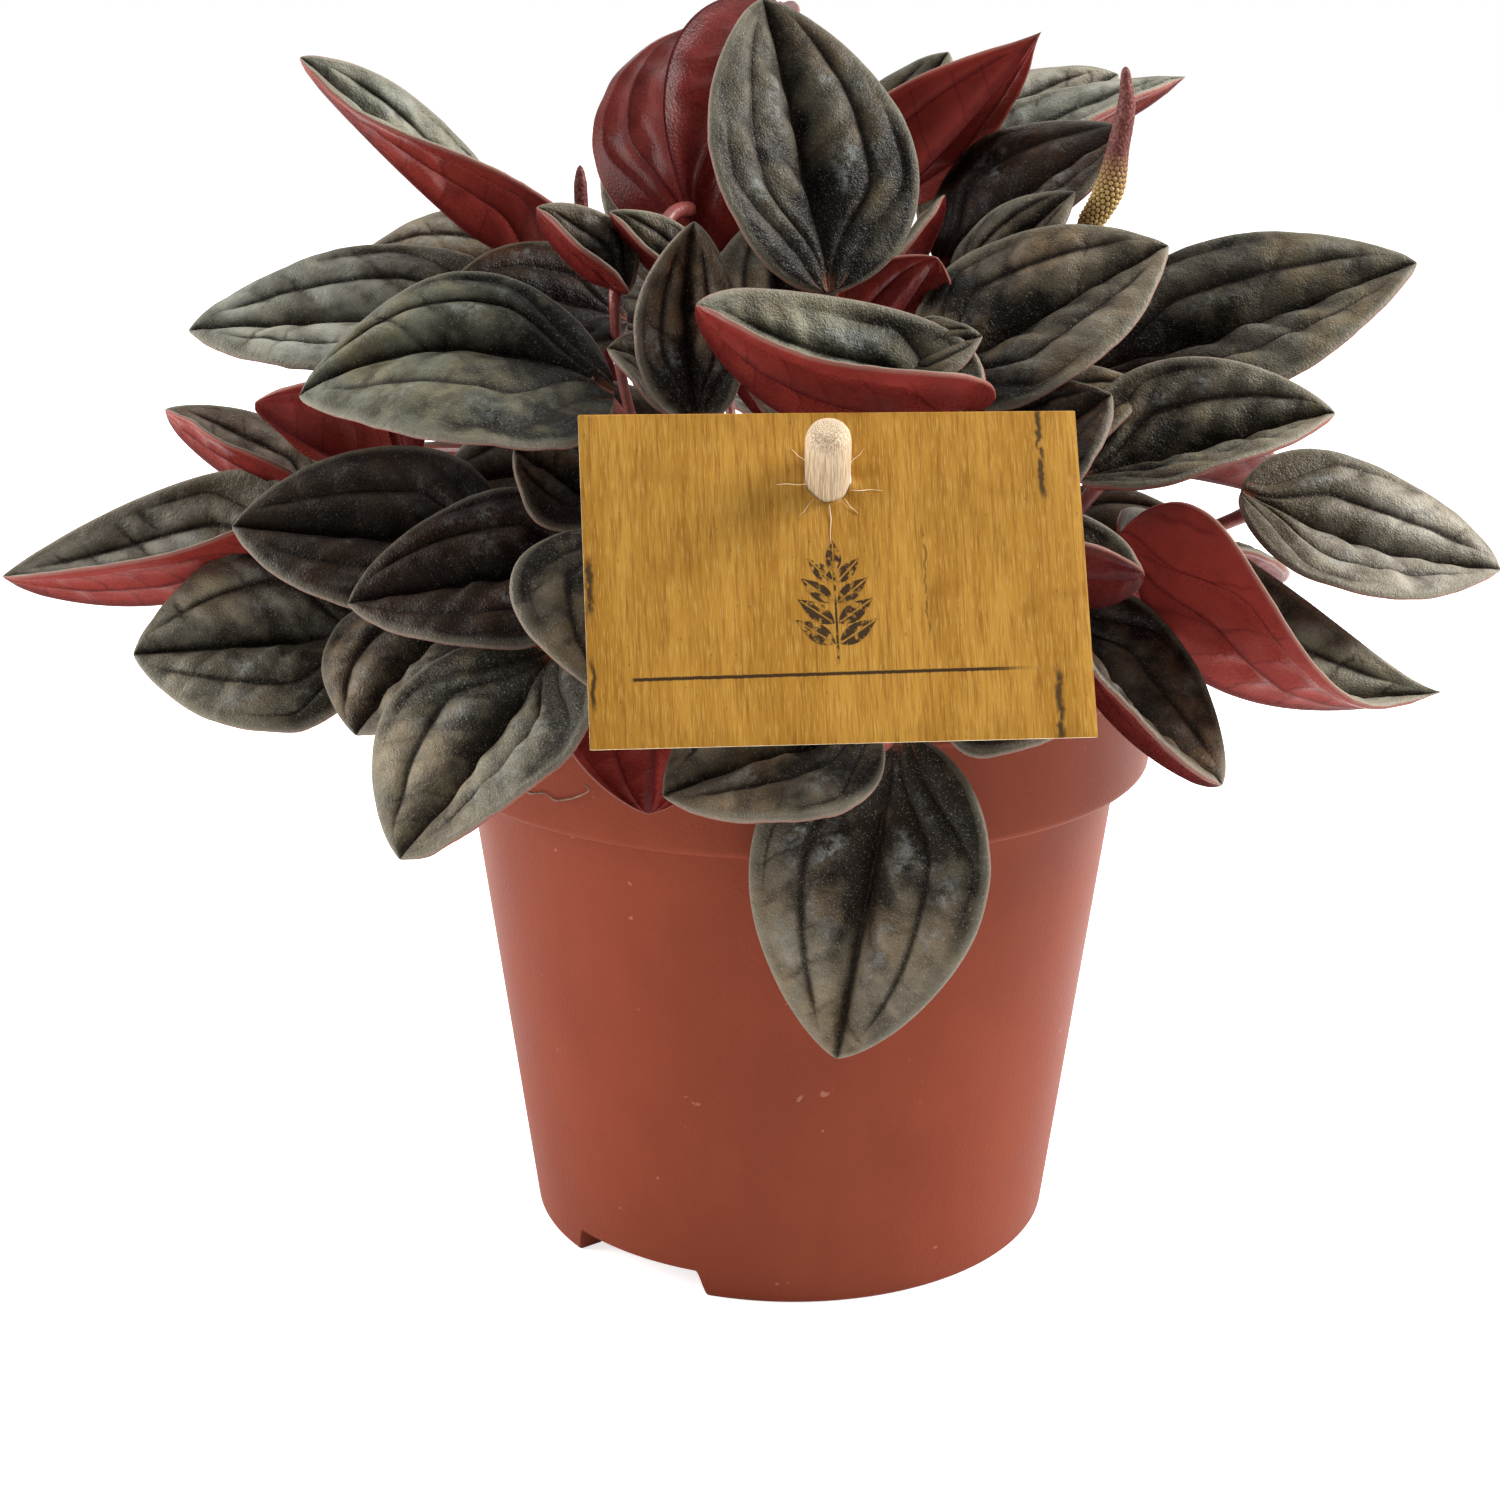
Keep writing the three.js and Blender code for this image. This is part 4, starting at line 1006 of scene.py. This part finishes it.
# ---- Label stick ----
# A round wooden stick pushed into the soil at a slant, slightly uneven from whittling. Its upper
# end is rounded off and shows paler end grain.
STICK_RADIUS = 3.2
STICK_FOOT = np.array([4.8, -28.7, 78])
STICK_TOP = np.array([4.8, -79.8, 152.3])
STICK_SIDES = 64
WHITTLING = 0.07
stick_length = np.linalg.norm(STICK_TOP - STICK_FOOT)
stick_way = unit(STICK_TOP - STICK_FOOT)
stick_right = np.array([1.0, 0, 0])
stick_front = np.cross(stick_right, stick_way)
stick_turns = around(STICK_SIDES)[:, None]
stick_round = np.cos(stick_turns) * stick_right + np.sin(stick_turns) * stick_front
stick_profile = [(2.8, 0), (STICK_RADIUS, 0.5)]
stick_profile += [(STICK_RADIUS, h) for h in np.linspace(3, stick_length - 6, 12)]
stick_profile += [(radius, stick_length + past) for radius, past in (
    (STICK_RADIUS, -4.6), (STICK_RADIUS, -3.6), (STICK_RADIUS, -2.7), (3.13, -2.1), (2.98, -1.5),
    (2.75, -1.0), (2.42, -0.55), (2.02, -0.22), (1.6, -0.05), (1.1, 0.02), (0.5, 0.03))]
stick_rings = [STICK_FOOT + stick_round * radius + stick_way * h for radius, h in stick_profile]
points, quads, triangles = skin(STICK_FOOT, stick_rings, STICK_TOP)
offset = points - STICK_FOOT
lengthwise = offset @ stick_way
crosswise = offset @ stick_right
depthwise = offset @ stick_front
whittled = lumps(np.stack([crosswise, depthwise, 0.08 * lengthwise], -1), 0.9)[:, None]
off_axis = offset - lengthwise[:, None] * stick_way
points = points + WHITTLING * whittled * off_axis / STICK_RADIUS
ring_heights = capped(np.repeat([h for _, h in stick_profile], STICK_SIDES), stick_length)
stick_shape = Shape()
stick_shape.add(points, quads, triangles, lengthwise=lengthwise, crosswise=crosswise,
                depthwise=depthwise, cut_face=np.clip((ring_heights - stick_length + 2.1) / 1.3, 0, 1))

wood = Finish("pale_wood", 0.7)
fibre_place = read(wood.tree, "ShaderNodeCombineXYZ", {
    0: wood.value("crosswise"), 1: wood.value("depthwise"), 2: wood.value("lengthwise") * 0.06})
fibres = wood.noise(4.5, 3, place=fibre_place)
pores = wood.noise(7, place=fibre_place)
side_colour = fibres.step(0.35, 0.65).mix((0.44, 0.31, 0.19), (0.69, 0.55, 0.385))
end_colour = pores.step(0.42, 0.62).mix((0.38, 0.26, 0.155), (0.76, 0.63, 0.46))
wood.colour = wood.value("cut_face").mix(side_colour, end_colour)
settle(stick_shape.build("stick", [wood.wire(pores, 0.00012)]), "label_stick")

# ---- Label card ----
# A stiff printed card with a weathered-board pattern, hung on the stick through a star of
# slits, which the stick has pushed open. Its print is plain apart from a rule and a leaf sprig.
CARD_HALF = np.array([70, 46.7]) / 2
CARD_THICK = 0.5
CARD_FRONT = -CARD_THICK / 2
CARD_CENTRE = np.array([6.3, -81, 131.9])
CARD_LEAN = 26.5  # degrees
CARD_TURN = 0.8
CARD_SWING = 8.8
CORNER = 0.15
CORNERS = ((1, 1), (-1, 1), (-1, -1), (1, -1))
HOLE = np.array([-0.7, 14.5])
HOLE_HALF = np.array([3.4, 3.95])
DISH = 0.55  # how far the card is pushed in round the hole, and how far that reaches
DISH_REACH = 0.55
SLITS = [((-8.05, 13.17), (-3.7, 13.11)), ((2.3, 12.19), (6.88, 12.12)), ((-5.71, 18.14), (-3.6, 16.2)),
         ((4.68, 18.18), (2.3, 15.8)), ((-5.23, 8.29), (-2.9, 11.0)), ((3.18, 8.74), (1.3, 11.0)),
         ((-0.83, 4.4), (-0.62, 10.3))]
FACE, BACK, CUT, INK = 0, 1, 2, 3  # material slots
NO_TRIANGLES = np.zeros((0, 3), int)


def turn_about(axis, degrees):
    c = math.cos(math.radians(degrees))
    s = math.sin(math.radians(degrees))
    a = (axis + 1) % 3
    b = (axis + 2) % 3
    matrix = np.eye(3)
    matrix[a, a] = matrix[b, b] = c
    matrix[a, b] = -s
    matrix[b, a] = s
    return matrix


card_turn = turn_about(2, CARD_SWING) @ turn_about(0, -CARD_LEAN) @ turn_about(1, CARD_TURN)


def on_card(flat, depth):
    """Points of the card, from their places on its face and their depth behind its middle."""
    depth = np.broadcast_to(depth, len(flat))
    return CARD_CENTRE + np.stack([flat[:, 0], depth, flat[:, 1]], -1) @ card_turn.T


# the outline, with a small round corner between each two sides
corner_centre = CARD_HALF - CORNER
border = []
for k, corner in enumerate(CORNERS):
    arc = np.linspace(0, math.pi / 2, 5) + k * math.pi / 2
    spokes = CORNER * np.stack([np.cos(arc), np.sin(arc)], -1)
    start = corner_centre * corner + spokes[-1]
    end = corner_centre * CORNERS[(k + 1) % 4] + spokes[-1]
    border.append(corner_centre * corner + spokes)
    border.append(start + (end - start) * np.linspace(0, 1, 34)[1:-1, None])
border = np.vstack(border)
from_hole = border - HOLE
bearing = np.arctan2(from_hole[:, 1], from_hole[:, 0])
hole_edge = HOLE + HOLE_HALF * np.stack([np.cos(bearing), np.sin(bearing)], -1)

# rings from the hole out to the border, on the front and then back again behind
front_rings = []
back_rings = []
prints = []
for share in [*np.linspace(0, 0.16, 8), *np.linspace(0.22, 0.985, 12), 1.0]:
    flat = hole_edge + (border - hole_edge) * share
    away = np.linalg.norm((flat - HOLE) / HOLE_HALF, axis=1)
    dish = DISH * np.exp(-((away - 1) / DISH_REACH) ** 2) * (0.6 + 0.4 * np.cos(7 * bearing))
    rounding = 0.1 * (share == 1)
    front_rings.append(on_card(flat, dish + CARD_FRONT + rounding))
    back_rings.append(on_card(flat, dish - CARD_FRONT - rounding))
    prints.append(flat)
wheel = front_rings + back_rings[::-1]
printed_at = np.vstack(prints + prints[::-1])
count = len(border)
spoke = np.arange(count)
next_spoke = (spoke + 1) % count
low = np.arange(len(wheel))[:, None] * count
high = np.roll(low, -1, axis=0)
quads = np.stack([low + spoke, high + spoke, high + next_spoke, low + next_spoke], -1)
bands = len(front_rings) - 1
band_slots = np.repeat([FACE] * bands + [CUT] + [BACK] * bands + [CUT], count)
card_shape = Shape()
card_shape.add(np.vstack(wheel), quads.reshape(-1, 4), NO_TRIANGLES, band_slots,
               print_x=printed_at[:, 0], print_z=printed_at[:, 1])

# the torn edges of the slits stand a little proud
for start, end in SLITS:
    start = np.array(start)
    end = np.array(end)
    way = unit(end - start)
    side = np.array([-way[1], way[0]])
    slit_half = 0.07 if abs(way).max() > 0.99 else 0.035
    rings = []
    for u in np.linspace(0.02, 0.98, 14):
        centre = start + (end - start) * u + side * 0.07 * math.sin(9 * u + start[0])
        half = slit_half * math.sin(math.pi * u) ** 0.4
        flat = centre + np.outer([-half, -0.4 * half, 0.4 * half, half], side)
        rings.append(on_card(flat, np.array([0.05, -0.08, -0.08, 0.05]) + CARD_FRONT))
    first, last = on_card(np.array([start, end]), CARD_FRONT + 0.02)
    card_shape.add(*skin(first, rings, last), CUT, CUT, print_x=start[0], print_z=start[1])

# The sprig: a stem, four pairs of leaflets (height, reach, width) and one at the top.
STEM_X = -0.6
PAIRS = ((-9.5, 5.6, 2.6), (-6.6, 5.2, 2.5), (-3.7, 4.6, 2.3), (-0.9, 3.6, 2.0))
RIB_GAP = 0.12  # left bare along the middle of a leaflet


def print_strip(left, right):
    """A flat strip of ink just in front of the card, between two lines of points."""
    flat = np.stack([left, right], 1).reshape(-1, 2)
    k = np.arange(len(left) - 1) * 2
    card_shape.add(on_card(flat, CARD_FRONT - 0.03), np.stack([k, k + 1, k + 3, k + 2], -1),
                   NO_TRIANGLES, INK, INK, print_x=flat[:, 0], print_z=flat[:, 1])


def print_leaflet(base, tip, width):
    """Two strips of ink on either side of the leaflet's rib."""
    base = np.array(base)
    way = unit(tip - base)
    side = np.array([-way[1], way[0]])
    u = np.linspace(0, 1, 13)[:, None]
    rib = base + (tip - base) * u
    half = side * (width / 2 * np.sin(math.pi * u ** 0.8))
    rib_edge = RIB_GAP * unit(half + 1e-9)
    print_strip(rib + rib_edge, rib + half)
    print_strip(rib - rib_edge, rib - half)


stem = np.stack([np.full(12, STEM_X), np.linspace(-12.3, 1.0, 12)], -1)
print_strip(stem - [0.14, 0], stem + [0.14, 0])
for rise, reach, width in PAIRS:
    for side in (-1, 1):
        print_leaflet((STEM_X + side * 0.3, rise), (STEM_X + side * reach, rise + 3.4), width)
print_leaflet((STEM_X, 0.6), (STEM_X, 5.0), 2.2)

# Place across the card, lower and upper end, and width of each dark crack.
CRACKS = [(29.5, 9.6, 25.0, 0.42), (29.9, -25.0, -12.6, 0.50), (12.2, -9.5, 8.0, 0.16),
          (-34.3, -6.0, 4.0, 0.5), (-34.2, -19, -10, 0.3)]


def print_boards(finish):
    """Lays the board pattern on: fine upright grain in ochre, with flecks, smudges, a few dark
    cracks and the rule. Gives back the grain, for the bump."""
    x_mm = finish.value("print_x")
    z_mm = finish.value("print_z")

    def upright(x_scale, z_scale, detail=2, roughness=0.5):
        place = read(finish.tree, "ShaderNodeCombineXYZ", {0: x_mm * x_scale, 1: z_mm * z_scale})
        return finish.noise(1.0, detail, roughness, place)

    fine = upright(1.6, 0.10, 4, 0.6)
    boards = upright(0.16, 0.02, 3).step(0.35, 0.65)
    finish.colour = boards.mix((0.365, 0.174, 0.023), (0.475, 0.246, 0.042))
    finish.cover(fine.step(0.42, 0.68, 0, 0.8), (0.270, 0.114, 0.014))
    finish.cover(upright(5.0, 0.35).step(0.48, 0.72, 0, 0.6), (0.560, 0.336, 0.085))
    finish.cover(upright(3.2, 0.06).step(0.60, 0.72, 0, 0.55), (0.200, 0.082, 0.014))
    finish.cover(upright(0.10, 0.12, 3).step(0.55, 0.75, 0, 0.4), (0.250, 0.102, 0.014))
    finish.cover(upright(2.2, 0.9).step(0.68, 0.76, 0, 0.75), (0.16, 0.075, 0.025))
    waver = upright(0.1, 0.5, 3) * 1.4 - 0.7
    for crack_x, low_end, high_end, width in CRACKS:
        off = (x_mm - crack_x + waver).math("ABSOLUTE")
        crack = off.step(width * 0.4, width * 1.6, 0.92 if width > 0.2 else 0.6, 0)
        crack = crack * z_mm.step(low_end, low_end + 2.5) * z_mm.step(high_end - 2.5, high_end, 1, 0)
        finish.cover(crack * upright(0.9, 0.5, 3).step(0.30, 0.50), (0.045, 0.026, 0.013))
    off_rule = z_mm + (x_mm * -0.0099 + 13.65) + (fine - 0.5) * 0.25
    rule = off_rule.math("ABSOLUTE").step(0.16, 0.32, 0.95, 0)
    rule = rule * x_mm.step(-29.2, -28.6) * x_mm.step(20.0, 28.0, 1, 0)
    finish.cover(rule, (0.028, 0.016, 0.009))
    return fine


face = Finish("printed_card", 0.42, 0.15)
card_front = face.wire(print_boards(face), 0.00002)
back = Finish("card_back", 0.6)
blotch, _, paper = back.grain(0.01, 0.0003)
back.colour = blotch.mix((0.66, 0.62, 0.54), (0.72, 0.68, 0.60))
card_back = back.wire(paper, 0.00003)
core = Finish("card_cut_edge", 0.7)
blotch, _, pulp = core.grain(0.003, 0.0003)
core.colour = blotch.mix((0.78, 0.58, 0.33), (0.90, 0.78, 0.58))
card_core = core.wire(pulp, 0.00005)
ink = Finish("worn_ink", 0.5, 0.15)
ink_grain = print_boards(ink)
ink.cover(ink.noise(900, 3, 0.6).step(0.36, 0.52, 0, 0.96), (0.030, 0.017, 0.010))
card_ink = ink.wire(ink_grain, 0.00002)
card = card_shape.build("card", [card_front, card_back, card_core, card_ink], SHARP_EDGE)
settle(card, "label_card")

# ---- Stray root ----
# One dry hair root, washed out over the rim, stuck to the front left of the collar. It runs
# through these points, each an angle in degrees, a distance from the middle and a height.
ROOT = [(-133.1, 61.8, 89.6), (-131.4, 61.9, 89.2), (-129.7, 62.1, 89.6), (-127.8, 62.1, 90.0),
        (-126.3, 62.0, 89.3), (-124.2, 62.2, 89.8), (-122.6, 62.3, 90.4), (-121.1, 62.5, 91.2),
        (-119.6, 62.5, 92.4), (-119.9, 63.2, 93.4)]
ROOT_RADIUS = 0.13
stations = np.array([
    (r * math.cos(math.radians(a)), r * math.sin(math.radians(a)), z) for a, r, z in ROOT])
run = running_length(stations)
line = smooth_path(stations, run, np.linspace(0, run[-1], 60))
root_shape = Shape()
root_shape.add(*tube(line, ROOT_RADIUS + 0.05 * lumps(line, 1.5), 8))

dry = Finish("dry_root", 0.8)
blotch, _, fuzz = dry.grain(0.002, 0.0003)
dry.colour = blotch.mix((0.09, 0.05, 0.035), (0.28, 0.19, 0.13))
stray_root = root_shape.build("stray_root", [dry.wire(fuzz, 0.0002)])
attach(stray_root, "root")
